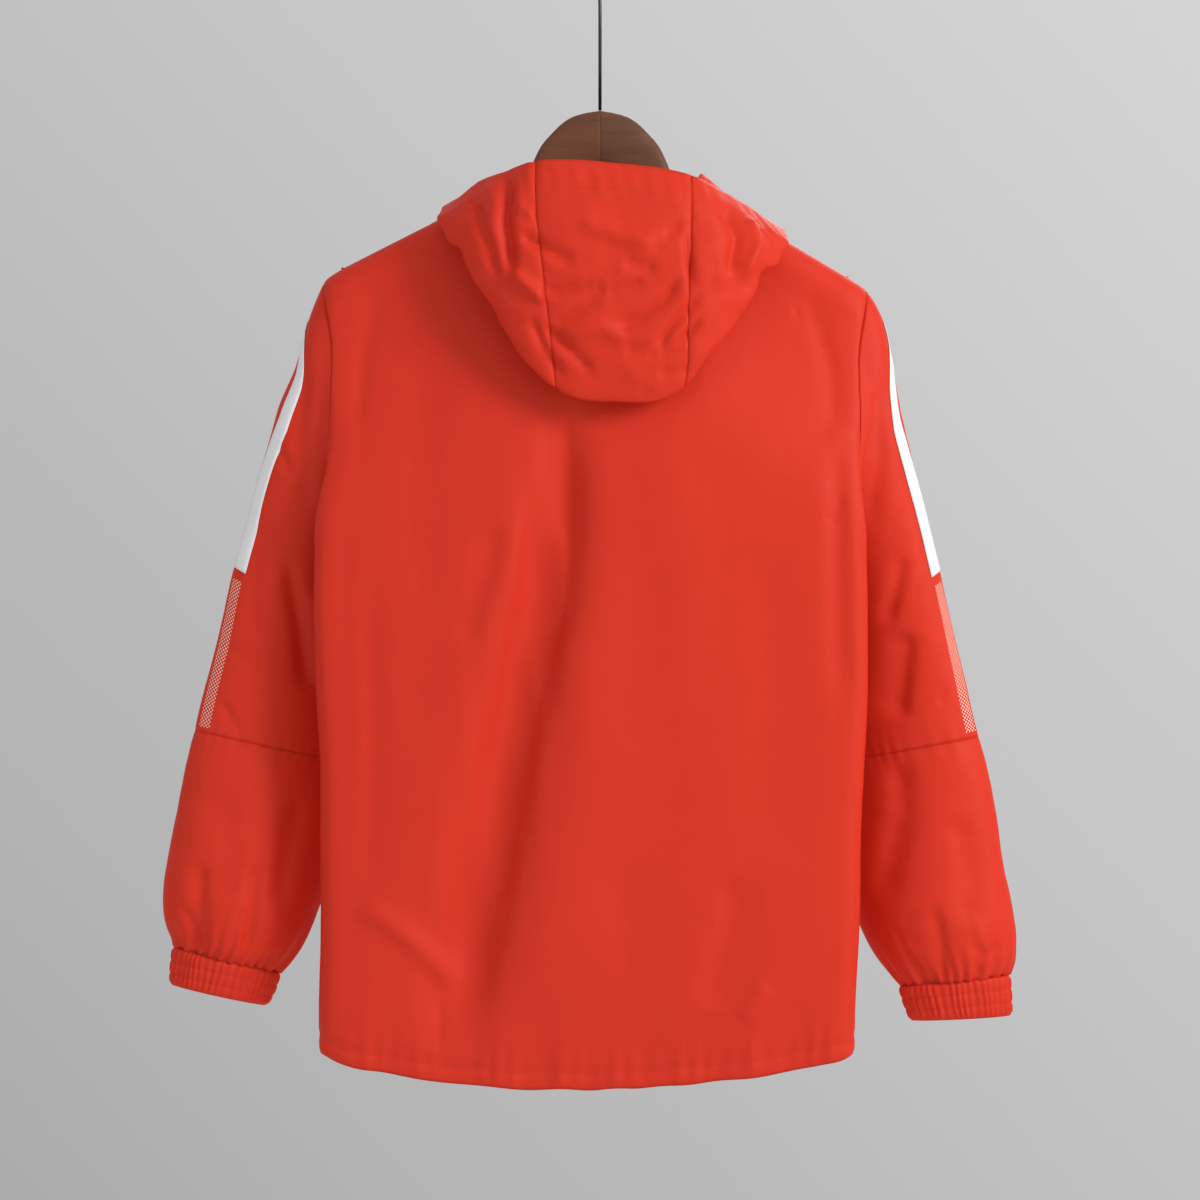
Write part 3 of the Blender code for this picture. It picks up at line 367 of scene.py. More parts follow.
def hem_z(x, face):
    if face == "front":
        return FRONT_HEM_Z
    out = x - HEM_LOW[0]
    return HEM_LOW[1] + HEM_RISE[LEFT if out > 0 else RIGHT] * out**2


def column_x(share, inner, flat):
    """Spreads the columns so that one always starts at the neck's edge."""
    if share <= NECK_SHARE:
        return mix(inner, NECK_HALF, 1 - (1 - share / NECK_SHARE) ** NECK_SPACING)
    return mix(NECK_HALF, flat, (share - NECK_SHARE) / (FLAT_SHARE - NECK_SHARE))


def top_z(x, face):
    """Height of a panel's top edge: the neck's curve, and the shoulder seam outside it."""
    if abs(x) >= NECK_HALF:
        return ridge_z(x)
    share = abs(x) / NECK_HALF
    if face == "back":
        return mix(NAPE_Z, NECK_SIDE_Z, share**3)
    return mix(FRONT_NECK_Z, NECK_SIDE_Z, share**2)


def panel_point(side, share, row, face):
    """A point of the back or front on one side; share runs from the middle to the side edge."""
    last = len(ARM_ANGLES) - 1
    if row <= last:
        edge = armhole_point(side, ARM_ANGLES[row], face)
        level = (1 - math.cos(math.radians(ARM_ANGLES[row]))) / 2
    else:
        level = 1.0
        down = (row - last) / LOWER_ROWS
        z = mix(UNDERARM_Z[side], SIDE_HEM_Z, down)
        edge = np.array((side * ARM_REACH[side] * PANELS.read("seam_x", z), 0.0, z))
    wide = max(PANELS.read("left" if side == LEFT else "right", edge[2]), abs(edge[0]))
    if row <= last:
        wide = mix(abs(edge[0]), wide, ease((ARM_ANGLES[row] - WIDE_ANGLES[0]) / WIDE_ANGLES[1]))

    if face == "back":
        inner, full = 0.0, PANELS.read("back", edge[2])
        flat = wide - BACK_TURN
        corner = wide + math.sqrt((wide - flat) * (wide - abs(edge[0])))
    else:
        inner, full = ZIP_HALF + SEAM_GAP, -PANELS.read("front", edge[2])
        reach = ARM_REACH[side]
        opened = ease(level / OPEN_LEVEL)
        corner = mix(wide, reach * PANELS.read("front_corner", edge[2]), opened)
        narrow = max(reach * PANELS.read("front_flat", edge[2]), NECK_HALF + NECK_CLEAR)
        flat = mix(wide - BACK_TURN, narrow, opened)
        if row < last:
            corner = min(corner, abs(edge[0]))

    def level_z(x):
        if row <= last:
            return mix(top_z(side * x, face), UNDERARM_Z[side], level)
        return mix(UNDERARM_Z[side], hem_z(side * x, face), down)

    def level_y(x, z):
        depth = body_depth(side * x, z, full)
        if face == "back":
            return depth + CROWN * (1 - (x / wide) ** 2) * level + big_fold(side * x, z)
        return -depth

    if share <= FLAT_SHARE:
        x = column_x(share, inner, flat)
        z = level_z(x)
        return np.array((side * x, level_y(x, z), z))
    turn = (share - FLAT_SHARE) / (1 - FLAT_SHARE)
    keep, lead, reach_end = (1 - turn) ** 2, 2 * turn * (1 - turn), turn**2
    x = keep * flat + lead * corner + reach_end * abs(edge[0])
    z_flat = level_z(min(x, wide))
    z = z_flat + (edge[2] - level_z(abs(edge[0]))) * reach_end
    y_flat = level_y(flat, level_z(flat))
    y = (keep + lead) * y_flat + reach_end * edge[1]
    return np.array((side * x, y, z))


def finer(points, size, wrap=False):
    """Adds rows to a grid on smooth curves through its own, and says where its own rows are now.

    A grid that wraps comes back with its first row again at the end.
    """
    count = len(points)
    if wrap:
        points = np.concatenate((points[-3:], points, points[:4]))
    chords = np.linalg.norm(np.diff(points, axis=0), axis=2)
    keys = np.concatenate(([0], np.cumsum(np.maximum(chords.mean(axis=1), 1e-5))))
    slopes = np.gradient(points, keys, axis=0)
    first = 3 if wrap else 0
    last = first + count if wrap else count - 1
    rows, marks = [], []
    for i in range(first, last):
        marks.append(len(rows))
        span = keys[i + 1] - keys[i]
        for t in np.linspace(0, 1, max(1, round(chords[i].mean() * 1.1 / size)), endpoint=False):
            rows.append(hermite(t, span, points[i], slopes[i], points[i + 1], slopes[i + 1]))
    marks.append(len(rows))
    rows.append(points[last])
    return np.array(rows), marks


def finer_grid(points, size, wrap=False):
    """Both ways finer; wrap is for a tube whose columns go all round."""
    rows, row_marks = finer(points, size)
    columns, column_marks = finer(rows.transpose(1, 0, 2), size, wrap)
    return columns.transpose(1, 0, 2), row_marks, column_marks


def grid_normals(points, wrap=False):
    """Normals of a grid of points, rows down and columns across, pointing out of the garment."""
    across = np.gradient(points, axis=1)
    if wrap:
        across[:, 0] = across[:, -1] = points[:, 1] - points[:, -2]
    return unit(np.cross(across, np.gradient(points, axis=0)))


def steps_along(line):
    """Length along a line of points from its first to each."""
    return np.concatenate(([0], np.cumsum(np.linalg.norm(np.diff(line, axis=0), axis=1))))


def on_line(at, steps, line):
    """The place, or places, at a length along a line of points."""
    return np.stack([np.interp(at, steps, line[:, k]) for k in range(3)], axis=-1)


def lengths_down(points):
    """Length of cloth from the first row to each row, along the columns."""
    steps = np.linalg.norm(np.diff(points, axis=0), axis=2)
    return np.concatenate((np.zeros((1, points.shape[1])), np.cumsum(steps, axis=0)))


def lengths_across(points):
    return lengths_down(points.transpose(1, 0, 2)).T


def folds(points, table, narrow=1.0):
    """How far a cloth stands out or in at each point, in metres, for a table of folds.

    Each fold is its path as (x, z) in mm, its half widths on the side of its path that has the
    larger x where the path runs down and on the other side, its height in mm, troughs negative,
    and how many times as wide it is at its end.
    """
    flat = points[..., 0::2]
    total = np.zeros(points.shape[:-1])
    for path, widths, height, grow in table:
        path = np.array(path, float) / 1000
        runs = np.diff(path, axis=0)
        lengths = np.linalg.norm(runs, axis=1)
        before = steps_along(path)
        nearest = np.full(total.shape, 9.0)
        side, share = np.zeros(total.shape), np.zeros(total.shape)
        for start, run, length, done in zip(path, runs, lengths, before):
            away = flat - start
            t = np.clip(away @ run / length**2, 0, 1)
            gap = np.linalg.norm(away - t[..., None] * run, axis=-1)
            closer = gap < nearest
            nearest = np.where(closer, gap, nearest)
            side = np.where(closer, run[0] * away[..., 1] - run[1] * away[..., 0], side)
            share = np.where(closer, (done + t * length) / before[-1], share)
        width = narrow * np.where(side > 0, widths[0], widths[1]) / 1000 * mix(1, grow, share)
        fade = ease(share / 0.22 + 0.15) * ease((1 - share) / 0.22 + 0.15)
        total += height / 1000 * fade * np.exp(-((nearest / width) ** 2))
    return total


def crumple(points, seed, size, height, count=9, sharp=0.004):
    """The soft facets that light nylon takes, from folded waves in all directions."""
    draw = np.random.default_rng(seed)
    total = np.zeros(points.shape[:-1])
    for _ in range(count):
        heading, bend = unit(draw.normal(size=3)), unit(draw.normal(size=3))
        step = size * draw.uniform(0.7, 1.6)
        wave = points @ heading / step + 0.35 * np.sin(points @ bend / (step * 0.45) + draw.uniform(0, 6))
        folded = (wave + draw.uniform(0, 1)) % 1 - 0.5
        total += np.sqrt(folded**2 + sharp)
    return height * 4 * (total / count - 0.26)


def across_at(points, up, height):
    """The line across a grid that runs at one height, measured along the cloth from its last row."""
    return np.array([on_line(-height, -up[:, j], points[:, j]) for j in range(points.shape[1])])


def waves(seed, along, length):
    """Uneven waves along a seam, about length apart."""
    draw = np.random.default_rng(seed)
    slow = sum(np.sin(along / length * draw.uniform(0.5, 1.6) + draw.uniform(0, 6)) for _ in range(3))
    height = 0.55 + 0.25 * np.sin(along / length * 1.9 + seed)
    return np.sin(2 * math.pi * along / length + slow * 1.2) * height


def cloth(name, points, normals, finish, wrap=False, thick=CLOTH, lines=None):
    """Makes a thin cloth from a grid of points. Its UV map is in metres of cloth.

    lines are more measures of the cloth, one number for each point, kept for its material.
    """
    rows, columns = points.shape[:2]
    shape = bmesh.new()
    bmesh.ops.create_grid(shape, x_segments=columns - 1, y_segments=rows - 1, size=1)
    mesh = bpy.data.meshes.new(name)
    shape.to_mesh(mesh)
    shape.free()
    flat = np.zeros(len(mesh.vertices) * 3)
    mesh.vertices.foreach_get("co", flat)
    flat = flat.reshape(-1, 3)
    j = np.rint((flat[:, 0] + 1) / 2 * (columns - 1)).astype(int)
    i = np.rint((1 - flat[:, 1]) / 2 * (rows - 1)).astype(int)
    mesh.vertices.foreach_set("co", points[i, j].ravel())
    measure = np.stack((lengths_across(points)[i, j], lengths_down(points)[i, j]), axis=1)
    corner = np.zeros(len(mesh.loops), int)
    mesh.loops.foreach_get("vertex_index", corner)
    mesh.uv_layers.new(name="cloth").data.foreach_set("uv", measure[corner].ravel())
    for word, values in (lines or {}).items():
        mesh.attributes.new(word, "FLOAT", "POINT").data.foreach_set("value", values[i, j].ravel())
    mesh.update()
    face = mesh.polygons[len(mesh.polygons) // 2]
    at = face.vertices[0]
    shape = bmesh.new()
    shape.from_mesh(mesh)
    if np.dot(np.array(face.normal), normals[i[at], j[at]]) < 0:
        bmesh.ops.reverse_faces(shape, faces=shape.faces)
    if wrap:
        bmesh.ops.remove_doubles(shape, verts=shape.verts, dist=1e-6)
    shape.to_mesh(mesh)
    shape.free()
    mesh.shade_smooth()
    mesh.materials.append(finish)
    made = bpy.data.objects.new(name, mesh)
    scene.collection.objects.link(made)
    if thick:
        walls = made.modifiers.new("thickness", "SOLIDIFY")
        walls.thickness = thick
        walls.offset = -1
    return made


def nylon(name, light, dark, dots=None):
    """Thin woven nylon: a fine plain weave, small creases, and a soft sheen.

    dots, where the cloth is printed, are the place of the printed band on it.
    """
    finish = Finish(name, IOR=1.28, Specular_IOR_Level=0.5)
    across, down = finish.on_cloth()
    place = finish.place()
    threads = (across * THREADS).apply("SINE") * (down * THREADS).apply("SINE")
    drift = finish.noise(place, 5.0, 3.0)
    small = finish.noise(place, 55.0, 4.0, Roughness=0.55, Distortion=0.6)
    slubs = finish.noise(place, 900.0)
    colour = finish.mix(dark, light, (drift * 0.8 + small * 0.25 + threads * 0.04).apply("MINIMUM", 1.0))
    rough = 0.50 + small * 0.10 - threads * 0.03
    if dots:
        along = finish.add("ShaderNodeAttribute", output=2, attribute_name="band_down")
        beside = finish.add("ShaderNodeAttribute", output=2, attribute_name="band_across")
        start, end, half, pitch, radius = dots
        a = ((beside + along) / pitch).apply("FRACT") - 0.5
        b = ((along - beside) / pitch).apply("FRACT") - 0.5
        dot = (a * a + b * b) < radius**2
        inside = (beside.apply("ABSOLUTE") < half) * (along > start) * (along < end)
        print_mask = dot * inside
        colour = finish.mix(colour, DOT_COLOUR, print_mask)
        rough = rough + print_mask * 0.12
    bump = finish.bump(0.30, 0.0012, small + slubs * 0.05 + threads * 0.03)
    return finish.out(Base_Color=colour, Roughness=rough, Normal=bump)


def placed(middle, axes, size):
    """Puts a shape of size 1 at a place, along three axes."""
    turn = Matrix(np.stack(axes, axis=1).tolist()).to_4x4()
    return Matrix.Translation(middle.tolist()) @ turn @ Matrix.Diagonal((*size, 1))


def sew(name, points, normals, finish):
    """A row of stitches along a line of points on a cloth."""
    steps = steps_along(points)
    count = max(2, int(steps[-1] / STITCH_PITCH))
    length, thick = STITCH
    shape = bmesh.new()
    for k in range(count):
        ends = [(k + 0.5) * steps[-1] / count + s * length / 2 for s in (-1, 1)]
        a, b = (on_line(e, steps, points) for e in ends)
        out = unit(on_line(ends[0], steps, normals))
        along = unit(b - a)
        matrix = placed((a + b) / 2 + out * thick * 0.4, (along, unit(np.cross(out, along)), out),
                        (length / 2, thick * 1.1, thick))
        bmesh.ops.create_uvsphere(shape, u_segments=6, v_segments=4, radius=1, matrix=matrix)
    made = add_object(name, shape, finish, smooth=True)
    settle(made)
    return made


def thread():
    finish = Finish("red_thread", Roughness=0.6)
    twist = finish.noise(finish.place(), 1500.0, 1.0)
    return finish.out(Base_Color=finish.mix((0.52, 0.035, 0.02), (0.66, 0.07, 0.04), twist))


THREAD = thread()
CLOTH_RED = nylon("red_nylon", *RED)
GRID = 0.0034           # size of the body's grid
HEM_STITCH = 0.015      # height of the hem's stitching over its edge
PUCKER = 0.0009
HEM_SWAY = 0.0011       # how uneven the hem's edge is
HEM_PRESS = (0.0009, 0.0030)        # how deep its stitching sinks, and how wide
HEM_ROLL = (0.0012, 0.004)          # how far its edge turns in, and from how high
EDGE_PRESS = 0.0005     # how deep a panel's other edges sink
FACETS = ((0.085, 0.0012), (0.030, 0.00025))        # sizes and heights of the cloth's facets
EDGE_CALM = 0.25        # the share of its folds that a panel keeps at its edges

# the back's folds, in the order of the picture from its middle to both sides
BACK_FOLDS = (
    (((29, -415), (30, -525), (35, -577), (49, -613), (59, -660), (74, -716), (83, -771), (100, -837),
      (119, -903), (130, -965)), (26, 13), -12.0, 2.1),
    (((26, -400), (29, -419), (29, -470), (31, -530)), (6, 4), -1.6, 1.5),
    (((-8, -520), (4, -620), (14, -720), (40, -840), (70, -940)), (20, 30), 4.0, 1.3),
    (((90, -507), (97, -551), (110, -587), (119, -615)), (15, 8), -3.4, 1.2),
    (((211, -839), (187, -850), (164, -868), (138, -892), (122, -914)), (9, 12), 4.2, 1.0),
    (((140, -915), (140, -992)), (2.6, 7), -1.5, 1.0),
    (((-208, -432), (-206, -539), (-209, -665)), (10, 9), -3.2, 1.2),
    (((-210, -484), (-198, -509)), (4, 4), -1.4, 1.0),
    (((-117, -812), (-111, -859), (-93, -928)), (11, 22), -3.6, 1.2),
    (((-145, -906), (-122, -938)), (8, 8), 2.2, 1.0),
    (((163, -260), (138, -273)), (4, 4), -1.2, 1.0),
    (((-171, -317), (-172, -332)), (2.5, 2.5), -0.8, 1.0),
    (((150, -350), (158, -470), (150, -590), (162, -720)), (16, 22), -2.0, 1.2),
    (((200, -560), (196, -700), (203, -840)), (10, 12), -1.8, 1.0),
    (((-60, -420), (-72, -560), (-66, -700)), (30, 24), 1.8, 1.2),
    (((-140, -520), (-150, -640), (-146, -800)), (20, 26), -1.8, 1.3),
    (((-20, -800), (-30, -900), (-12, -985)), (18, 24), -2.0, 1.4),
    (((190, -300), (205, -360), (212, -430)), (10, 8), -1.8, 1.0),
    (((-180, -305), (-200, -370), (-206, -430)), (9, 10), -1.8, 1.0),
)
# and of the fronts, which the picture doesn't show
FRONT_FOLDS = (
    (((45, -420), (60, -560), (58, -700), (80, -860), (84, -945)), (14, 22), -4.0, 1.6),
    (((110, -380), (104, -470), (112, -560)), (10, 16), -2.6, 1.2),
    (((95, -640), (100, -760), (92, -880)), (18, 12), 2.6, 1.2),
    (((-40, -450), (-62, -590), (-55, -740), (-74, -930)), (22, 12), -4.2, 1.6),
    (((-105, -400), (-112, -520), (-100, -640)), (14, 10), -2.6, 1.3),
    (((-20, -560), (-26, -760), (-18, -930)), (16, 18), 2.2, 1.2),
    (((150, -600), (158, -760), (140, -930)), (14, 18), -2.6, 1.3),
    (((-150, -580), (-156, -720), (-138, -900)), (18, 14), -2.6, 1.3),
    (((30, -930), (70, -905), (110, -915)), (9, 9), 1.8, 1.0),
    (((140, -290), (120, -330), (118, -370)), (8, 10), -1.8, 1.2),
    (((-138, -298), (-118, -335), (-112, -380)), (10, 8), -1.8, 1.2),
)


def panel_shares(neck, between, turn):
    """Column shares of one side, with so many columns inside the neck, between and in the turn."""
    return np.concatenate((
        np.linspace(0, NECK_SHARE, neck + 1)[:-1],
        np.linspace(NECK_SHARE, FLAT_SHARE, between + 1)[:-1],
        np.linspace(FLAT_SHARE, 1, turn + 1),
    ))


def back_cage():
    shares = panel_shares(5, 5, 4)
    grid = []
    for row in range(len(ARM_ANGLES) + LOWER_ROWS):
        right = [panel_point(RIGHT, s, row, "back") for s in shares[::-1]]
        left = [panel_point(LEFT, s, row, "back") for s in shares[1:]]
        right[-1] = (right[-1] + panel_point(LEFT, 0.0, row, "back")) / 2
        grid.append(right + left)
    return np.array(grid)


def front_cage(side):
    shares = panel_shares(5, 2, 4)
    order = shares if side == RIGHT else shares[::-1]
    return np.array([[panel_point(side, s, row, "front") for s in order]
                     for row in range(len(ARM_ANGLES) + LOWER_ROWS)])


def seam_press(distance, depth=0.0008, width=0.0035):
    """A sewn edge sinks a little towards its seam."""
    return -depth * np.exp(-((distance / width) ** 2))


def panel(node, cage, table, seed):
    """One panel with its folds, pressed at its seams and puckered along its hem."""
    name = node + "_cloth"
    points = finer_grid(cage, GRID)[0]
    normals = grid_normals(points)
    down, across = lengths_down(points), lengths_across(points)
    up = down[-1] - down
    other = across[:, -1:] - across
    offset = folds(points, table)
    offset += crumple(points * (1, 1, 0.6), seed, *FACETS[0])
    offset += crumple(points, seed + 1, *FACETS[1])
    calm = ease(down / 0.05) * ease(np.minimum(across, other) / 0.03)
    offset *= EDGE_CALM + (1 - EDGE_CALM) * calm
    offset += sum(seam_press(edge, EDGE_PRESS) for edge in (down, across, other))
    hem = np.exp(-((np.maximum(up - HEM_STITCH, 0) / 0.020) ** 2))
    offset += PUCKER * waves(seed, across, 0.017) * hem * ease(up / 0.012 + 0.4)
    offset += 2.2 * PUCKER * waves(seed + 5, across, 0.058) * np.exp(-((up / 0.045) ** 2))
    points = points.copy()
    points[..., 2] += HEM_SWAY * waves(seed + 6, across, 0.062) * np.exp(-((up / 0.03) ** 2))
    offset += seam_press(up - HEM_STITCH, *HEM_PRESS)
    edge_roll = HEM_ROLL[0] * (1 - ease(up / HEM_ROLL[1]))
    points = points + normals * (offset - edge_roll)[..., None]
    normals = grid_normals(points)
    made = cloth(name, points, normals, CLOTH_RED)
    line, out = (across_at(grid, up, HEM_STITCH)[2:-2] for grid in (points, normals))
    settle(made, node)
    return made, sew(name + "_hem_stitches", line, out, THREAD)


back, back_stitches = panel("back", back_cage(), BACK_FOLDS, 11)
front_left, left_stitches = panel("front_left", front_cage(LEFT), FRONT_FOLDS, 12)
front_right, right_stitches = panel("front_right", front_cage(RIGHT), FRONT_FOLDS, 13)

# ---------------------------------------------------------------- Sleeves
# Each sleeve is an upper and a lower tube of the same nylon, sewn together above the elbow. One
# white tape is sewn along the upper tube's outer edge, with a band of small pale dots printed
# under it, and the lower tube is gathered into the cuff.
SLEEVE_COLUMNS = "row outer_x outer_y outer_z inner_x inner_y inner_z half_depth"
SLEEVES = {
    LEFT: Table(SLEEVE_COLUMNS, (
        (0, 0.2420, 0.000, -0.2980, 0.2010, 0.000, -0.5300, 0.035),
        (1, 0.2535, 0.000, -0.3265, 0.2050, -0.009, -0.5370, 0.036),
        (2, 0.2640, 0.000, -0.3640, 0.2065, -0.019, -0.5470, 0.038),
        (3, 0.2815, 0.000, -0.4098, 0.2060, -0.030, -0.5600, 0.040),
        (4, 0.2950, 0.000, -0.4545, 0.2045, -0.040, -0.5750, 0.040),
        (5, 0.3080, 0.000, -0.5040, 0.2025, -0.048, -0.5950, 0.040),
        (6, 0.3227, 0.000, -0.5563, 0.2020, -0.053, -0.6220, 0.039),
        (7, 0.3341, 0.000, -0.6089, 0.2030, -0.055, -0.6520, 0.037),
        (8, 0.3464, 0.000, -0.6550, 0.2080, -0.052, -0.6880, 0.035),
        (9, 0.3545, 0.000, -0.6880, 0.2120, -0.049, -0.7180, 0.034),
        (10, 0.3600, 0.000, -0.7110, 0.2150, -0.046, -0.7380, 0.036),
        (11, 0.3690, 0.000, -0.7540, 0.2240, -0.038, -0.7760, 0.037),
        (12, 0.3770, 0.000, -0.7950, 0.2350, -0.030, -0.8120, 0.038),
        (13, 0.3824, 0.000, -0.8370, 0.2464, -0.022, -0.8450, 0.038),
        (14, 0.3800, -0.002, -0.8560, 0.2570, -0.018, -0.8700, 0.036),
        (15, 0.3745, -0.004, -0.8690, 0.2700, -0.016, -0.8890, 0.032),
        (16, 0.3730, -0.005, -0.8760, 0.2795, -0.015, -0.9000, 0.027),
    )),
    RIGHT: Table(SLEEVE_COLUMNS, (
        (0, 0.2335, 0.000, -0.3040, 0.1940, 0.000, -0.5360, 0.035),
        (1, 0.2460, 0.000, -0.3265, 0.1975, -0.009, -0.5430, 0.036),
        (2, 0.2545, 0.000, -0.3640, 0.1990, -0.019, -0.5530, 0.038),
        (3, 0.2631, 0.000, -0.4098, 0.1980, -0.030, -0.5660, 0.040),
        (4, 0.2741, 0.000, -0.4545, 0.1960, -0.040, -0.5810, 0.040),
        (5, 0.2868, 0.000, -0.5040, 0.1935, -0.048, -0.6010, 0.040),
        (6, 0.2991, 0.000, -0.5563, 0.1920, -0.053, -0.6280, 0.039),
        (7, 0.3105, 0.000, -0.6089, 0.1910, -0.056, -0.6580, 0.037),
        (8, 0.3215, 0.000, -0.6550, 0.1930, -0.053, -0.6900, 0.035),
        (9, 0.3305, 0.000, -0.6930, 0.1960, -0.050, -0.7190, 0.034),
        (10, 0.3370, 0.000, -0.7160, 0.1985, -0.047, -0.7400, 0.036),
        (11, 0.3455, 0.000, -0.7580, 0.2050, -0.040, -0.7800, 0.037),
        (12, 0.3520, 0.000, -0.8020, 0.2140, -0.032, -0.8200, 0.038),
        (13, 0.3604, 0.000, -0.8440, 0.2270, -0.024, -0.8570, 0.038),
        (14, 0.3638, -0.002, -0.8700, 0.2400, -0.019, -0.8830, 0.036),
        (15, 0.3625, -0.004, -0.8890, 0.2530, -0.017, -0.9010, 0.032),
        (16, 0.3580, -0.005, -0.9005, 0.2620, -0.016, -0.9110, 0.027),
    )),
}
JOIN_ROWS = 3
UPPER_ROWS = (0, 0.5, 1, 2, 3, 4, 5, 5.85, 7, 8, 9)
FOREARM_ROWS = (10, 11, 12, 13, 13.6, 14.3, 15, 16)
EDGE_POWER = 1.35
SLEEVE_GRID = 0.0034
TAPE_LIFT = 0.0004
TAPE_THICK = 0.0006
TAPE_WIDTH = 0.0165
TAPE_COUNT = 6          # columns of its grid
TAPE_SPAN = {LEFT: (-0.3270, -0.5465), RIGHT: (-0.3300, -0.5500)}
# How far inside the sleeve's outer edge the tape, and below it the printed band, has its inner
# edge, seen from behind. At its top the tape comes over the edge from the front.
INSET = {
    LEFT: ((-0.338, 0.0002), (-0.3575, 0.0040), (-0.3728, 0.0060), (-0.4098, 0.0088), (-0.4535, 0.0082),
           (-0.4825, 0.0084), (-0.5465, 0.0108), (-0.5563, 0.0105), (-0.6852, 0.0143)),
    RIGHT: ((-0.3528, 0.0002), (-0.3760, 0.0045), (-0.4098, 0.0075), (-0.4825, 0.0080), (-0.5500, 0.0084),
            (-0.5607, 0.0080), (-0.6931, 0.0113)),
}
# the printed band: from and to this far below the tape's end and above the seam, half its width,
# the dots' pitch and their radius as a share of it
DOTS = (0.009, 0.005, 0.0056, 0.0036, 0.31)
GATHERS = 23
GATHER_HEIGHT = 0.0017
SLEEVE_FACETS = ((40, 0.055, 0.0016), (50, 0.022, 0.0005))      # draw, size and height
BEHIND = 1.4            # how much stronger the folds behind are than the table says
ELBOW_WAVES = (0.0010, 0.014, 0.010)        # height and length of the seam's puckers, and their reach
TAPE_CALM = (0.6, 0.012)        # the share of the folds that the tape presses flat, and how far
TUCK_IN = (0.0045, 0.0036)      # how far the wrist's edge goes down inside the cuff, and inwards

SLEEVE_FOLDS = {
    (LEFT, "back"): (
        (((271, -540), (261, -594), (253, -655)), (8, 5), -4.2, 1.3),
        (((250, -560), (243, -610), (240, -660)), (8, 9), 2.4, 1.0),
        (((281, -440), (270, -464)), (4, 4), -1.8, 1.0),
        (((327, -617), (308, -623)), (3, 3), -1.4, 1.0),
        (((331, -660), (320, -680), (309, -700)), (5, 4), -2.0, 1.0),
        (((260, -360), (262, -430), (252, -500)), (10, 8), -2.2, 1.2),
        (((290, -500), (300, -560), (298, -610)), (12, 9), -1.8, 1.0),
        (((366, -840), (359, -848), (353, -867), (346, -882)), (5, 4), -2.6, 1.0),
        (((348, -800), (349, -859), (345, -888)), (8, 8), -3.6, 1.0),
        (((297, -800), (302, -837), (304, -866), (309, -884)), (7, 5), -3.0, 1.0),
        (((281, -880), (304, -898)), (4, 4), -1.5, 1.0),
        (((330, -740), (322, -790), (328, -840)), (14, 12), -2.0, 1.2),
        (((260, -740), (270, -790), (284, -850)), (10, 9), -2.6, 1.2),
    ),
    (RIGHT, "back"): (
        (((-265, -535), (-249, -598)), (7, 6), -2.6, 1.3),
        (((-268, -600), (-259, -680)), (14, 9), -4.0, 1.0),
        (((-303, -653), (-295, -664)), (3, 3), -1.2, 1.0),
        (((-240, -380), (-243, -450), (-232, -510)), (8, 9), -2.4, 1.2),
        (((-258, -705), (-263, -756), (-244, -840)), (9, 12), -3.2, 1.3),
        (((-330, -904), (-331, -891), (-335, -885), (-327, -872)), (3.5, 3.5), -1.8, 1.0),
        (((-331, -891), (-335, -885), (-350, -873)), (3.5, 3.5), -1.7, 1.0),
        (((-271, -885), (-287, -907), (-297, -915)), (4, 4), -2.2, 1.0),
        (((-310, -760), (-322, -810), (-318, -860)), (12, 13), -2.2, 1.2),
        (((-290, -840), (-296, -870), (-300, -905)), (8, 6), -2.6, 1.0),
        (((-290, -470), (-296, -540), (-304, -590)), (10, 8), -1.6, 1.0),
    ),
    (LEFT, "front"): (
        (((262, -470), (250, -540), (238, -600)), (10, 8), -3.6, 1.3),
        (((300, -540), (308, -610), (300, -660)), (9, 10), -2.4, 1.0),
        (((280, -720), (290, -780), (300, -850)), (10, 9), -3.0, 1.2),
        (((340, -760), (345, -820), (340, -880)), (9, 9), -3.0, 1.0),
        (((250, -380), (268, -420), (272, -470)), (7, 8), -1.8, 1.0),
    ),
    (RIGHT, "front"): (
        (((-250, -480), (-240, -550), (-228, -610)), (8, 10), -3.6, 1.3),
        (((-288, -560), (-296, -620), (-288, -670)), (10, 9), -2.4, 1.0),
        (((-262, -730), (-272, -790), (-284, -870)), (9, 10), -3.0, 1.2),
        (((-322, -780), (-330, -840), (-322, -895)), (9, 9), -3.0, 1.0),
        (((-238, -390), (-256, -430), (-260, -480)), (8, 7), -1.8, 1.0),
    ),
}


def ring_point(table, side, row, angle, depth_power):
    """A point of a sleeve's ring, from the outlines in its table."""
    outer = np.array([table.read("outer_" + axis, row) for axis in "xyz"])
    inner = np.array([table.read("inner_" + axis, row) for axis in "xyz"])
    turn = math.radians(angle)
    depth = math.copysign(abs(math.sin(turn)) ** depth_power, math.sin(turn))
    point = (outer + inner) / 2 + (outer - inner) / 2 * math.cos(turn)
    point[1] += table.read("half_depth", row) * depth
    return point * (side, 1, 1)


def sleeve_point(side, row, angle):
    """A sleeve's surface; near row 0 it takes the armhole's own line."""
    table = SLEEVES[side]
    edged = ease(row / JOIN_ROWS)
    point = ring_point(table, side, row, angle, mix(1.0, EDGE_POWER, edged))
    if row < JOIN_ROWS:
        face, around = ("back", angle) if angle <= 180 else ("front", 360 - angle)
        start = ring_point(table, side, 0, angle, 1.0)
        point += (armhole_point(side, around, face) - start) * (1 - edged)
    return point


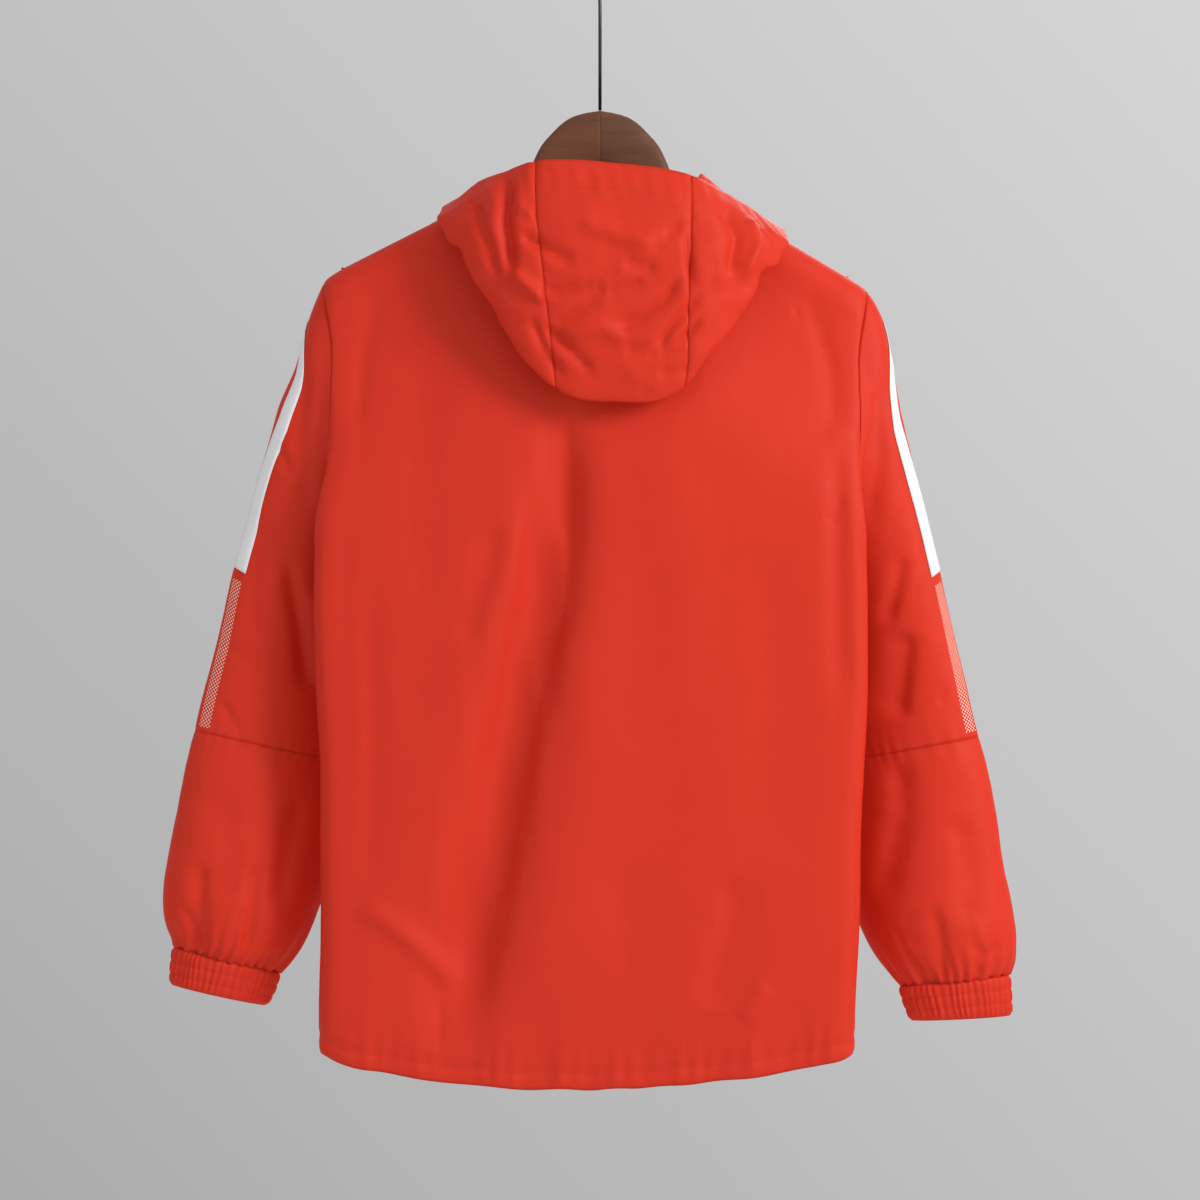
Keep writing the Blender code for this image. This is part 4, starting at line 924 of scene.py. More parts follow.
def white_tape():
    """Matt woven tape with a fine cross rib, its white a little uneven."""
    finish = Finish("white_tape", Roughness=0.75, Sheen_Weight=0.1)
    across, down = finish.on_cloth()
    rib = (down * 9000.0).apply("SINE") * 0.5 + 0.5
    cord = (across * 7000.0).apply("SINE") * 0.5 + 0.5
    wear = finish.noise(finish.place(), 60.0, 3.0)
    colour = finish.mix((0.94, 0.935, 0.95), (0.86, 0.85, 0.87), rib * 0.3 + wear * 0.5)
    return finish.out(Base_Color=colour, Normal=finish.bump(0.25, 0.0002, rib + cord * 0.5))


WHITE = white_tape()


def inner_line(points, around, side):
    """Where on each row of a sleeve the tape's inner edge runs, measured along the cloth."""
    heights, insets = (np.array(v) for v in zip(*INSET[side][::-1]))
    half = points.shape[1] // 2
    line = []
    for ring, measure in zip(points, around):
        inset = np.interp(ring[0, 2], heights, insets)
        away = np.maximum.accumulate((side * ring[:, 0]).max() - side * ring[:half, 0])
        line.append(np.interp(inset, away, measure[:half]))
    return np.array(line)


def tape_grid(points, normals, around, line, rows):
    """The tape's grid: for each row of the sleeve, points from the line outwards over its edge."""
    grids = []
    for values in (points, normals):
        made = []
        for i in rows:
            whole = around[i, -1]
            at = np.linspace(line[i] - TAPE_WIDTH, line[i], TAPE_COUNT) % whole
            made.append(on_line(at, around[i], values[i]))
        grids.append(np.array(made))
    return grids


def sleeve(side):
    """Both tubes of one sleeve with their folds and seams, and its tape."""
    word = NAMES[side]
    angles = list(ARM_ANGLES) + [360 - a for a in ARM_ANGLES[-2:0:-1]]
    rows = UPPER_ROWS + FOREARM_ROWS
    cage = np.array([[sleeve_point(side, r, a) for a in angles] for r in rows])
    points, row_marks, _ = finer_grid(cage, SLEEVE_GRID, wrap=True)
    elbow = row_marks[len(UPPER_ROWS) - 1]
    normals = -side * grid_normals(points, wrap=True)
    down, around = lengths_down(points), lengths_across(points)
    line = inner_line(points, around, side)
    whole = around[:, -1:]
    beside = (around - (line - TAPE_WIDTH / 2)[:, None] + whole / 2) % whole - whole / 2

    facing = ease(normals[..., 1] * 2 + 0.5)
    offset = BEHIND * folds(points, SLEEVE_FOLDS[side, "back"]) * facing
    offset += folds(points, SLEEVE_FOLDS[side, "front"]) * (1 - facing)
    offset += sum(crumple(points, draw + side, *size) for draw, *size in SLEEVE_FACETS)
    to_elbow = np.abs(down - down[elbow])
    to_wrist = down[-1] - down
    tape_calm = 1 - TAPE_CALM[0] * np.exp(-((beside / TAPE_CALM[1]) ** 2))
    offset *= ease(down / 0.06) * (0.3 + 0.7 * ease(to_elbow / 0.02)) * tape_calm
    height, length, fading = ELBOW_WAVES
    puckers = height * waves(60 + side, around, length) * np.exp(-(to_elbow / fading))
    offset += puckers + seam_press(to_elbow, EDGE_PRESS)
    share = around / whole * 2 * math.pi
    gather = np.cos(GATHERS * share + 1.4 * np.sin(3 * share + 1) + 0.9 * np.sin(5 * share + side))
    reach = 0.024 + 0.012 * np.sin(4 * share + 2 * side) + 0.006 * np.sin(9 * share)
    offset += GATHER_HEIGHT * gather * np.exp(-((to_wrist / reach) ** 2))
    offset += seam_press(down, 0.0004)
    points = points + normals * offset[..., None]
    normals = -side * grid_normals(points, wrap=True)

    seam = SEWN / 2 * unit(points[elbow] - points[elbow - 1])
    upper, lower = points[:elbow + 1].copy(), points[elbow:].copy()
    upper[-1] -= seam
    lower[0] += seam
    tucked = lower[-1] + unit(lower[-1] - lower[-4]) * TUCK_IN[0] - normals[-1] * TUCK_IN[1]
    lower = np.concatenate((lower, tucked[None]))
    top, low = TAPE_SPAN[side]
    tape_rows = [i for i in range(elbow) if low <= points[i, 0, 2] <= top]
    start, end, half, pitch, radius = DOTS
    band = (down[tape_rows[-1], 0] + start, down[elbow, 0] - end, half, pitch, radius)
    printed = nylon("printed_nylon_" + word, *RED, dots=band)
    lines = {"band_across": beside[:elbow + 1] - 0.001,
             "band_down": np.repeat(down[:elbow + 1, :1], points.shape[1], axis=1)}
    above = cloth(f"upper_sleeve_{word}_cloth", upper, normals[:elbow + 1], printed, wrap=True, lines=lines)
    turned = np.concatenate((normals[elbow:], normals[-1:]))
    below = cloth(f"lower_sleeve_{word}_cloth", lower, turned, CLOTH_RED, wrap=True)
    spread, out = tape_grid(points, normals, around, line, tape_rows)
    tape = cloth(f"stripe_{word}_tape", spread + out * (TAPE_LIFT + TAPE_THICK), out, WHITE, thick=TAPE_THICK)
    ring = sew(f"elbow_{word}_stitches", points[elbow + 1], normals[elbow + 1], THREAD)
    settle(above, "upper_sleeve_" + word)
    settle(below, "lower_sleeve_" + word)
    settle(tape, "stripe_" + word)


for arm_side in (LEFT, RIGHT):
    sleeve(arm_side)

# ---------------------------------------------------------------- Cuffs
# A casing of the sleeve's own nylon with elastic inside, sewn to the gathered wrist. The elastic
# draws it into close upright gathers all round.
CUFF_COLUMNS = "row outer_x outer_z inner_x inner_z half_depth"
CUFFS = {
    LEFT: Table(CUFF_COLUMNS, (
        (0, 0.3731, -0.8768, 0.2797, -0.9008, 0.0265),
        (1, 0.3750, -0.8945, 0.2850, -0.9160, 0.0255),
        (2, 0.3758, -0.9098, 0.2920, -0.9291, 0.0240),
    )),
    RIGHT: Table(CUFF_COLUMNS, (
        (0, 0.3581, -0.9013, 0.2623, -0.9118, 0.0265),
        (1, 0.3592, -0.9195, 0.2665, -0.9275, 0.0255),
        (2, 0.3596, -0.9370, 0.2719, -0.9422, 0.0240),
    )),
}
CUFF_Y = {"outer": -0.006, "inner": -0.015}
CUFF_GATHERS = 48
GATHER_RAISE = 0.0017
CUFF_ACROSS = 384
CUFF_DOWN = 22
CUFF_THICK = 0.0011
CHANNELS = (0.68, 1.34)      # the rows where stitching presses the cuff in
CHANNEL_DEPTH = 0.0009


def cuff(side):
    """One cuff: a ring of close gathers, pressed in by two rows of stitching."""
    word = NAMES[side]
    table = CUFFS[side]
    rows = np.linspace(0, 2, CUFF_DOWN)
    turns = np.linspace(0, 2 * math.pi, CUFF_ACROSS + 1)
    uneven = turns + 0.028 * np.sin(5 * turns + side) + 0.018 * np.sin(11 * turns + 2)
    points = []
    for row in rows:
        outer = np.array((table.read("outer_x", row), CUFF_Y["outer"], table.read("outer_z", row)))
        inner = np.array((table.read("inner_x", row), CUFF_Y["inner"], table.read("inner_z", row)))
        half = (outer - inner) / 2
        length = np.linalg.norm(half)
        lean = 0.10 * math.sin(row * 2.2 + side)
        ridge = 0.5 + 0.5 * np.cos(CUFF_GATHERS * uneven + lean * np.sin(7 * turns) * 6)
        ridge = ridge ** 0.8 * (0.72 + 0.28 * np.sin(13 * turns + row + side))
        edge = min(row, 2 - row)
        tuck = 0.0016 * (1 - ease(edge / 0.22))
        channel = CHANNEL_DEPTH * sum(math.exp(-((row - at) / 0.09) ** 2) for at in CHANNELS)
        raised = GATHER_RAISE * ridge * (0.55 + 0.45 * ease(edge / 0.3)) - tuck - channel
        ring = (outer + inner) / 2 + half * (np.cos(turns) * (1 + raised / length))[:, None]
        ring[:, 1] += (table.read("half_depth", row) + raised) * np.sin(turns)
        points.append(ring * (side, 1, 1))
    points = np.array(points)
    points[:, -1] = points[:, 0]
    normals = -side * grid_normals(points, wrap=True)
    made = cloth(f"cuff_{word}_cloth", points, normals, CLOTH_RED, wrap=True, thick=CUFF_THICK)
    settle(made, "cuff_" + word)


for arm_side in (LEFT, RIGHT):
    cuff(arm_side)

# ---------------------------------------------------------------- Hood
# Three pieces of the same nylon: a centre strip from the nape over the crown and two sides, sewn
# to the neck. It is folded down behind, its face edge turned over into a stitched casing.
HOOD = Table("place neck fold low_x low_y low_z high_x high_y high_z edge_x edge_y edge_z", (
    (1.00, 1.00, 0.0, 0.006, -0.028, -0.2500, 0.006, -0.028, -0.2450, 0.0065, -0.0285, -0.2380),
    (0.86, 0.74, 0.0, 0.046, -0.033, -0.2400, 0.044, -0.034, -0.2360, 0.0415, -0.0355, -0.2320),
    (0.80, 0.63, 0.0, 0.062, -0.033, -0.2280, 0.060, -0.036, -0.2260, 0.0570, -0.0400, -0.2230),
    (0.74, 0.52, 0.0, 0.084, -0.026, -0.2170, 0.086, -0.032, -0.2150, 0.0885, -0.0390, -0.2135),
    (0.66, 0.45, 1.0, 0.108, -0.003, -0.2160, 0.118, -0.005, -0.2195, 0.1270, -0.0070, -0.2235),
    (0.58, 0.39, 1.0, 0.133, 0.042, -0.2540, 0.1430, 0.032, -0.2440, 0.1370, 0.0220, -0.2355),
    (0.50, 0.34, 1.0, 0.110, 0.064, -0.2970, 0.118, 0.062, -0.2400, 0.1080, 0.0380, -0.2130),
    (0.40, 0.29, 1.0, 0.076, 0.074, -0.3540, 0.088, 0.080, -0.2320, 0.0850, 0.0540, -0.2045),
    (0.25, 0.20, 1.0, 0.038, 0.078, -0.3935, 0.056, 0.088, -0.2300, 0.0560, 0.0720, -0.1960),
    (0.00, 0.00, 1.0, -0.014, 0.079, -0.4060, -0.012, 0.090, -0.2280, -0.0120, 0.0750, -0.1975),
    (-0.25, -0.20, 1.0, -0.074, 0.078, -0.3935, -0.079, 0.088, -0.2400, -0.0790, 0.0720, -0.2080),
    (-0.40, -0.29, 1.0, -0.098, 0.074, -0.3640, -0.109, 0.080, -0.2480, -0.1050, 0.0540, -0.2200),
    (-0.50, -0.34, 1.0, -0.130, 0.064, -0.3180, -0.142, 0.063, -0.2590, -0.1310, 0.0380, -0.2340),
    (-0.58, -0.39, 1.0, -0.154, 0.043, -0.2730, -0.1650, 0.034, -0.2640, -0.1610, 0.0240, -0.2550),
    (-0.66, -0.45, 1.0, -0.122, -0.003, -0.2275, -0.134, -0.005, -0.2335, -0.1440, -0.0070, -0.2400),
    (-0.74, -0.52, 0.0, -0.084, -0.026, -0.2190, -0.087, -0.032, -0.2170, -0.0900, -0.0390, -0.2155),
    (-0.80, -0.63, 0.0, -0.062, -0.033, -0.2280, -0.060, -0.036, -0.2260, -0.0580, -0.0400, -0.2240),
    (-0.86, -0.74, 0.0, -0.046, -0.033, -0.2400, -0.044, -0.034, -0.2360, -0.0420, -0.0355, -0.2325),
    (-1.00, -1.00, 0.0, -0.006, -0.028, -0.2500, -0.006, -0.028, -0.2450, -0.0065, -0.0285, -0.2380),
))
HOOD_SEAM = 0.25
NECK_SEAM_SHARE = 0.4
NECK_CENTRE_Y = 0.010
HOOD_RISE = 0.010
HOOD_LEAN = 0.004
HOOD_SWELL = 0.010
HOOD_OVER = 0.004
HOOD_HANG = 0.08
HOOD_STEPS = 16
HOOD_GRID = 0.0027
CENTRE_SECTIONS = 9
SIDE_SECTIONS = 12
CASING = (0.026, 0.0345)    # distances of its two rows of stitches from the face edge
CASING_PRESS = (0.0012, 0.0026)     # how deep they sink, and how wide
HOOD_SEAM_PRESS = (0.0011, 0.0030)
SEAM_WAVES = (0.0007, 73, 0.015)    # height, draw and length of the puckers along its seams
CASING_WAVES = (0.0008, 74, 0.016)  # and of those along its casing
HOOD_RAISE = 2.6        # how much stronger its folds are than the table says
HOOD_NARROW = 0.7       # and how much narrower
# draw, size and height of the hood's facets, how many waves make them, and how sharp they are
HOOD_FACETS = ((75, 0.044, 0.0028, 6, 0.0004), (72, 0.020, 0.0012, 6, 0.0004))
# width, length and area of each piece's flat cloth
HOOD_CUTS = {
    "hood_side_right": (0.30, 0.30, 0.034),
    "hood_centre": (0.16, 0.30, 0.042),
    "hood_side_left": (0.30, 0.30, 0.034),
}

HOOD_FOLDS = (
    (((69, -260), (54, -269), (31, -281), (20, -282)), (5, 7), -2.4, 1.0),
    (((50, -306), (35, -310), (3, -305)), (4, 6), -2.0, 1.0),
    (((3, -303), (-3, -312)), (3, 3), -1.6, 1.0),
    (((-3, -313), (-25, -305), (-38, -301)), (4, 5), -1.7, 1.0),
    (((-3, -312), (42, -341)), (5, 5), -1.8, 1.2),
    (((-13, -342), (-36, -331), (-55, -317), (-69, -300)), (5, 6), -2.2, 1.0),
    (((-48, -360), (-62, -338), (-88, -315)), (5, 6), -2.2, 1.0),
    (((-48, -366), (-68, -354), (-88, -334)), (4, 5), -1.8, 1.0),
    (((-20, -359), (-42, -361), (-50, -366)), (4, 4), -1.5, 1.0),
    (((49, -338), (5, -379)), (6, 6), -2.2, 1.0),
    (((-50, -382), (-78, -376)), (4, 4), -1.3, 1.0),
    (((-55, -262), (-70, -253)), (4, 4), -1.3, 1.0),
    (((-74, -260), (-76, -288), (-80, -304)), (4, 5), -1.6, 1.0),
    (((72, -236), (56, -244)), (4, 4), 1.6, 1.0),
    (((80, -200), (82, -249), (76, -294)), (8, 9), -4.0, 1.0),
    (((76, -291), (47, -318)), (6, 7), 2.6, 1.0),
    (((20, -250), (-20, -262), (-50, -270)), (9, 12), 1.6, 1.0),
    (((-20, -285), (-48, -290)), (6, 7), -1.4, 1.0),
    (((110, -225), (98, -262), (88, -300)), (8, 7), -2.2, 1.0),
    (((-105, -232), (-118, -262), (-112, -296)), (8, 8), -2.4, 1.0),
    (((-128, -240), (-136, -268), (-122, -298)), (6, 7), 1.8, 1.0),
    (((30, -350), (0, -340), (-24, -352)), (7, 8), 1.6, 1.0),
    (((60, -330), (48, -360), (30, -385)), (6, 6), -1.6, 1.0),
)


def neck_edge(edges, neck):
    """A point on the neck's edge, which runs from the nape to the zip on each side."""
    rear, front = edges[LEFT if neck >= 0 else RIGHT]
    if abs(neck) <= NECK_SEAM_SHARE:
        line, share = rear, abs(neck) / NECK_SEAM_SHARE
    else:
        line, share = front, (abs(neck) - NECK_SEAM_SHARE) / (1 - NECK_SEAM_SHARE)
    steps = steps_along(line)
    return on_line(share * steps[-1], steps, line)


def neck_edges():
    """The panels' top edges inside the neck, each as nape to seam and seam to zip."""
    top = back_cage()[0]
    middle = len(top) // 2
    spans = {}
    for side in (LEFT, RIGHT):
        front = front_cage(side)[0][::-side]
        half = top[middle:] if side == LEFT else top[middle::-1]
        spans[side] = tuple(line[np.abs(line[:, 0]) <= NECK_HALF + 1e-6][::turn]
                            for line, turn in ((half, 1), (front, -1)))
    return spans


def curve_through(points, count):
    """Evenly spread points of a smooth curve through a few points."""
    points = np.array(points)
    steps = np.sqrt(np.linalg.norm(np.diff(points, axis=0), axis=1))
    keys = np.concatenate(([0], np.cumsum(np.maximum(steps, 1e-6))))
    fine = np.linspace(0, keys[-1], 200)
    slopes = np.gradient(points, keys, axis=0)
    i = np.clip(np.searchsorted(keys, fine, side="right") - 1, 0, len(keys) - 2)
    span = (keys[i + 1] - keys[i])[:, None]
    t = (fine - keys[i])[:, None] / span
    dense = hermite(t, span, points[i], slopes[i], points[i + 1], slopes[i + 1])
    steps = steps_along(dense)
    return on_line(np.linspace(0, steps[-1], count), steps, dense)


def hood_section(edges, place):
    """One section of the hood, from the neck seam round the pouch to the face edge."""
    start = neck_edge(edges, HOOD.read("neck", place)) + (0, 0, SEAM_GAP * 2)
    low, high, edge = (np.array([HOOD.read(f"{name}_{axis}", place) for axis in "xyz"])
                       for name in ("low", "high", "edge"))
    fold = min(max(HOOD.read("fold", place), 0.0), 1.0)
    away = unit(np.array((start[0], start[1] + NECK_CENTRE_Y, 0.0)))
    rise = start + away * HOOD_LEAN + (0, 0, HOOD_RISE)
    hung = ease((high[2] - low[2]) / HOOD_HANG)
    over = mix(rise, low, 0.5) + np.array((0, HOOD_OVER, 0.0)) * hung
    swell = mix(low, high, 0.5) + np.array((0, HOOD_SWELL, 0.0)) * hung
    pouch = [start, rise, over, low, swell, high, edge]
    stand = [mix(start, edge, k / 6) for k in range(7)]
    return curve_through([mix(s, p, fold) for s, p in zip(stand, pouch)], HOOD_STEPS + 1)


def hood():
    """Shapes the whole hood in one, then cuts it at its two seams."""
    centre = np.linspace(-HOOD_SEAM, HOOD_SEAM, CENTRE_SECTIONS)
    side = np.linspace(HOOD_SEAM, 1, SIDE_SECTIONS + 1)[1:]
    places = np.concatenate((-side[::-1], centre, side))
    edges = neck_edges()
    cage = np.array([hood_section(edges, p) for p in places]).transpose(1, 0, 2)
    points, _, marks = finer_grid(cage, HOOD_GRID)
    normals = -grid_normals(points)
    down = lengths_down(points)
    up = down[-1] - down
    across = lengths_across(points)
    right_seam, left_seam = marks[SIDE_SECTIONS], marks[SIDE_SECTIONS + CENTRE_SECTIONS - 1]
    hung = np.array([HOOD.read("fold", p) for p in places])
    loose = np.interp(np.arange(points.shape[1]), marks, np.clip(hung, 0, 1))[None, :]
    outside = ease(normals[..., 1] * 3 - 0.3) * ease(-normals[..., 2] * -2 + 1.6)
    offset = HOOD_RAISE * folds(points, HOOD_FOLDS, HOOD_NARROW) * outside
    bottom = ease(-normals[..., 2] * 2 - 0.5)
    offset += sum(crumple(points, *facet) for facet in HOOD_FACETS) * (1 - 0.9 * bottom)
    offset *= loose * ease(down / 0.03) * (0.25 + 0.75 * ease(up / 0.040))
    to_seam = np.minimum(np.abs(across - across[:, left_seam:left_seam + 1]),
                         np.abs(across - across[:, right_seam:right_seam + 1]))
    offset += seam_press(to_seam, *HOOD_SEAM_PRESS)
    height, draw, length = SEAM_WAVES
    offset += height * waves(draw, down, length) * np.exp(-to_seam / 0.007) * loose
    for line in CASING:
        offset += seam_press(up - line, *CASING_PRESS) * loose
    height, draw, length = CASING_WAVES
    offset += height * waves(draw, across, length) * np.exp(-((up - 0.018) / 0.014) ** 2) * loose
    points = points + normals * offset[..., None]
    normals = -grid_normals(points)
    cuts = (0, right_seam, left_seam, points.shape[1] - 1)
    for (name, (width, length, area)), first, last in zip(HOOD_CUTS.items(), cuts, cuts[1:]):
        part, out = points[:, first:last + 1].copy(), normals[:, first:last + 1]
        part[:, 0] += unit(part[:, 1] - part[:, 0]) * SEWN
        part[:, -1] += unit(part[:, -2] - part[:, -1]) * SEWN
        made = cloth(name + "_cloth", part, out, CLOTH_RED)
        settle(made, name)
        above = up[:, first:last + 1]
        for k, height in enumerate(CASING):
            line, away = (across_at(grid, above, height) for grid in (part, out))
            sew(f"{name}_stitches_{k}", line, away, THREAD)
    return cage[::-1, -1]


collar_line = hood()

# ---------------------------------------------------------------- Zip
# Woven tape down both fronts and up the collar, with small teeth on its two edges, closed. The
# metal slider is run up to the collar and its pull tab hangs from a bar on it.
TAPE_UNDER = 0.0045      # how far the tape goes in behind each front, and how deep
TAPE_BEHIND = 0.0021
COLLAR_STEP = 4
TOOTH = (0.0026, 0.0011, 0.0010)        # a tooth's width, depth and height
TOOTH_PITCH = 0.0021
TOOTH_EDGE = 0.00022    # how far its edges are rounded
TOOTH_SHIFT = 0.0010    # how far each row of teeth is from the middle
TOOTH_PROUD = 0.0004    # and how far it stands out
ZIP_STOP = 0.003        # where the teeth stop before the tape's ends


def zip_tape():
    finish = Finish("red_zip_tape", Roughness=0.7, Sheen_Weight=0.15)
    across, down = finish.on_cloth()
    twill = ((down + across) * 7000.0).apply("SINE") * 0.5 + 0.5
    colour = finish.mix((0.44, 0.028, 0.016), (0.54, 0.040, 0.022), twill)
    return finish.out(Base_Color=colour, Normal=finish.bump(0.35, 0.0002, twill))


def moulded_teeth():
    finish = Finish("red_teeth", Roughness=0.35, Specular_IOR_Level=0.5)
    cloud = finish.noise(finish.place(), 300.0)
    return finish.out(Base_Color=finish.mix((0.40, 0.022, 0.014), (0.50, 0.034, 0.02), cloud))


def zip_line():
    front = front_cage(LEFT)[:, -1]
    line = np.concatenate((collar_line[:-1:COLLAR_STEP], front[1:]))
    line[:, 0] = 0
    return finer(line[:, None], 0.0025)[0][:, 0]


def teeth(line):
    """Two rows of teeth that mesh, each tooth a small block with rounded edges."""
    steps = steps_along(line)
    shape = bmesh.new()
    for k in range(int((steps[-1] - 2 * ZIP_STOP) / TOOTH_PITCH * 2)):
        at = ZIP_STOP + k * TOOTH_PITCH / 2
        middle = on_line(at, steps, line)
        along = unit(on_line(at + 0.002, steps, line) - middle)
        out = unit(np.cross(along, (1.0, 0, 0)))
        out = out if out[1] < 0 else -out
        side = 1 if k % 2 else -1
        centre = middle + out * TOOTH_PROUD + np.array((side * TOOTH_SHIFT, 0, 0))
        bmesh.ops.create_cube(shape, size=1, matrix=placed(centre, ((1, 0, 0), out, along), TOOTH))
    bmesh.ops.bevel(shape, geom=shape.edges, offset=TOOTH_EDGE, offset_type="OFFSET", segments=1,
                    profile=0.5, affect="EDGES", material=-1)
    made = add_object("zip_teeth", shape, moulded_teeth())
    settle(made)
    return made


def close_zip():
    """The tape, with its edges in behind both fronts, and its teeth."""
    line = zip_line()
    across = np.linspace(-ZIP_HALF, ZIP_HALF, 9)
    wing = ZIP_HALF + np.array((0.5, 1.0)) * TAPE_UNDER
    across = np.concatenate((-wing[::-1], across, wing))
    points = np.repeat(line[:, None], len(across), axis=1)
    points[..., 0] = across
    points[..., 1] += TAPE_BEHIND * ease((np.abs(across) - ZIP_HALF + 0.0015) / 0.003)
    normals = np.repeat(np.repeat([[[0.0, -1.0, 0.0]]], len(line), axis=0), len(across), axis=1)
    tape = cloth("zip_tape", points, normals, zip_tape(), thick=0.0008)
    settle(tape, "zip")
    teeth(line)


close_zip()


def brushed_metal():
    """Cast and tumbled zinc, satin with fine scratches and duller in patches."""
    finish = Finish("zip_metal", Metallic=1.0)
    place = finish.place()
    scratch = finish.noise(place, 2500.0)
    patch = finish.noise(place, 220.0)
    return finish.out(Base_Color=finish.mix((0.50, 0.50, 0.51), (0.38, 0.38, 0.39), patch),
                      Roughness=0.26 + scratch * 0.18, Normal=finish.bump(0.15, 0.0001, scratch))


def dress(node, finish):
    """Gives a hard piece its finish, its faces joined so that it shades as one."""
    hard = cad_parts[node]
    hard.data.materials.clear()
    hard.data.materials.append(finish)
    hard.modifiers.new("weld", "WELD").merge_threshold = 1e-5
    return hard


METAL = brushed_metal()
for node in ("zip_slider", "zip_pull"):
    soft_edge = dress(node, METAL).modifiers.new("edges", "BEVEL")
    soft_edge.width = 0.00018
    soft_edge.segments = 2
    soft_edge.limit_method = "ANGLE"
    soft_edge.angle_limit = math.radians(40)

# ---------------------------------------------------------------- Hanger
# Two halves of brown varnished hardwood, rounded, meeting in the middle under the hood, each
# under one shoulder, and a thin dark wire with a bent hook that goes down into them.
WOOD = Table("x top bottom", (
    (0.0000, -0.1466, -0.1945),
    (0.0148, -0.1492, -0.1975),
    (0.0254, -0.1527, -0.2020),
    (0.0340, -0.1585, -0.2070),
    (0.0430, -0.1675, -0.2125),
    (0.0515, -0.1775, -0.2180),
    (0.0600, -0.1935, -0.2235),
    (0.0720, -0.2075, -0.2310),
))
CAD_CLOTH = 0.0015
WOOD_SPARE = 0.0016      # room for the cloth's own creases over the wood
WOOD_HALF = 0.007
WOOD_ROUND = 2.6
WOOD_TIP_X = {LEFT: 0.226, RIGHT: 0.220}
WOOD_END = 0.012
WOOD_END_SHRINK = 0.85
WOOD_DIP = 0.006
WOOD_DEPTH_NECK = 0.036
WOOD_DEPTH_TIP = 0.022
WOOD_SHOULDER_X = 0.072
WOOD_BLEND = 0.020
WOOD_RISE = 0.030
WOOD_AROUND = 48
WOOD_STEP = 0.003


def wood_section(x, side):
    """Top and bottom of an arm: humped at the neck, then under the shoulder's ridge."""
    under = (CAD_CLOTH + SEAM_GAP * 1.5 + WOOD_SPARE) * math.sqrt(1 + SLOPE[side] ** 2)
    dip = WOOD_DIP * (1 - ease((x - NECK_HALF) / WOOD_RISE))
    line = ridge_z(side * x) - under - dip
    outwards = (x - WOOD_SHOULDER_X) / (WOOD_TIP_X[side] - WOOD_SHOULDER_X)
    if outwards >= 0:
        return line, line - mix(WOOD_DEPTH_NECK, WOOD_DEPTH_TIP, outwards)
    hump = ease((x - WOOD_SHOULDER_X + WOOD_BLEND) / WOOD_BLEND)
    at_neck = ridge_z(side * WOOD_SHOULDER_X) - under - WOOD_DIP
    return (mix(WOOD.read("top", x), at_neck, hump * ease(hump)),
            mix(WOOD.read("bottom", x), at_neck - WOOD_DEPTH_NECK, ease(x / WOOD_SHOULDER_X)))


def hardwood(name, light, dark, shift):
    """Straight grain along the arm, pores, and a thin satin varnish."""
    finish = Finish(name, Coat_Roughness=0.3, Specular_IOR_Level=0.25)
    place = finish.place()
    grain = finish.add("ShaderNodeMapping", {"Vector": place, "Scale": (9.0, 60.0, 110.0),
                                             "Location": (shift, 0.3, 0.1)})
    rings = finish.noise(grain, 1.0, 5.0, Roughness=0.62, Distortion=0.7)
    fine = finish.add("ShaderNodeMapping", {"Vector": place, "Scale": (60.0, 900.0, 1300.0)})
    pores = finish.noise(fine, 1.0)
    colour = finish.mix(dark, light, rings * 1.5 - 0.28)
    colour = finish.mix(colour, (0.05, 0.020, 0.010), (pores > 0.66) * 0.35)
    return finish.out(Base_Color=colour, Roughness=0.42 + rings * 0.15, Coat_Weight=0.06,
                      Normal=finish.bump(0.12, 0.0004, pores + rings))


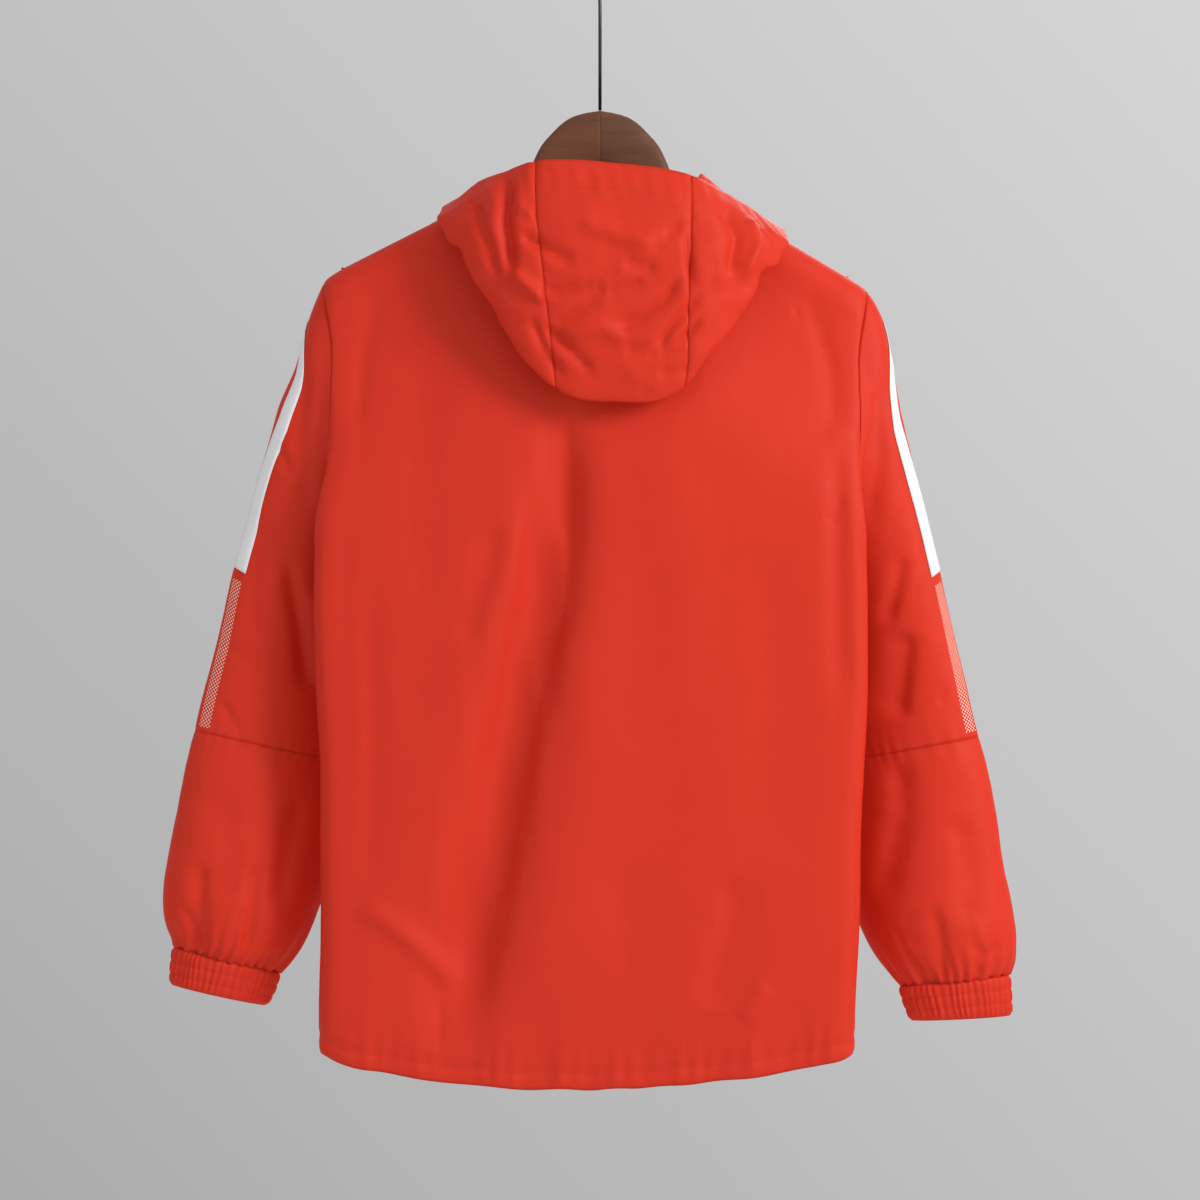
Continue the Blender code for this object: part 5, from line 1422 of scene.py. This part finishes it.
def hanger_arm(side, finish):
    """One half of the hanger, a bar of rounded sections with closed and rounded ends."""
    word = NAMES[side]
    tip = WOOD_TIP_X[side]
    ends = tip - WOOD_END * (1 - np.sin(np.linspace(0, math.pi / 2, 7)))
    turns = 2 * math.pi * (np.arange(WOOD_AROUND + 1) + 0.5) / WOOD_AROUND
    round_off = 2 / WOOD_ROUND
    rings = []
    for x in np.concatenate((np.arange(0, tip - WOOD_END, WOOD_STEP), ends)):
        top, bottom = wood_section(x, side)
        end = max(0.0, (x - (tip - WOOD_END)) / WOOD_END)
        shrink = math.sqrt(1 - (WOOD_END_SHRINK * end) ** 2)
        c, s = np.cos(turns), np.sin(turns)
        rings.append(np.stack((
            np.full(len(turns), side * x),
            WOOD_HALF * shrink * np.copysign(np.abs(c) ** round_off, c),
            (top + bottom) / 2 + (top - bottom) / 2 * shrink * np.copysign(np.abs(s) ** round_off, s),
        ), axis=1))
    points = np.array(rings)
    points[:, -1] = points[:, 0]
    middles = points[:, :-1].mean(axis=1, keepdims=True)
    made = cloth(f"hanger_arm_{word}_wood", points, unit(points - middles), finish, wrap=True, thick=0)
    shape = bmesh.new()
    shape.from_mesh(made.data)
    open_edges = [e for e in shape.edges if e.is_boundary]
    caps = bmesh.ops.holes_fill(shape, edges=open_edges, sides=0)["faces"]
    rims = [e for f in caps for e in f.edges]
    bmesh.ops.bevel(shape, geom=rims, offset=0.0004, offset_type="OFFSET", segments=2, profile=0.5,
                    affect="EDGES", material=-1)
    bmesh.ops.recalc_face_normals(shape, faces=shape.faces)
    shape.to_mesh(made.data)
    shape.free()
    made.data.shade_smooth()
    settle(made, "hanger_arm_" + word)


hanger_arm(LEFT, hardwood("brown_wood_left", (0.215, 0.078, 0.036), (0.115, 0.042, 0.021), 0.0))
hanger_arm(RIGHT, hardwood("brown_wood_right", (0.185, 0.074, 0.038), (0.100, 0.041, 0.022), 7.0))


def dark_wire():
    finish = Finish("hook_wire", Metallic=1.0)
    drawn = finish.noise(finish.place(), 700.0)
    return finish.out(Base_Color=finish.mix((0.10, 0.10, 0.105), (0.05, 0.05, 0.055), drawn),
                      Roughness=0.32 + drawn * 0.2)


dress("hanger_hook", dark_wire()).data.shade_smooth()
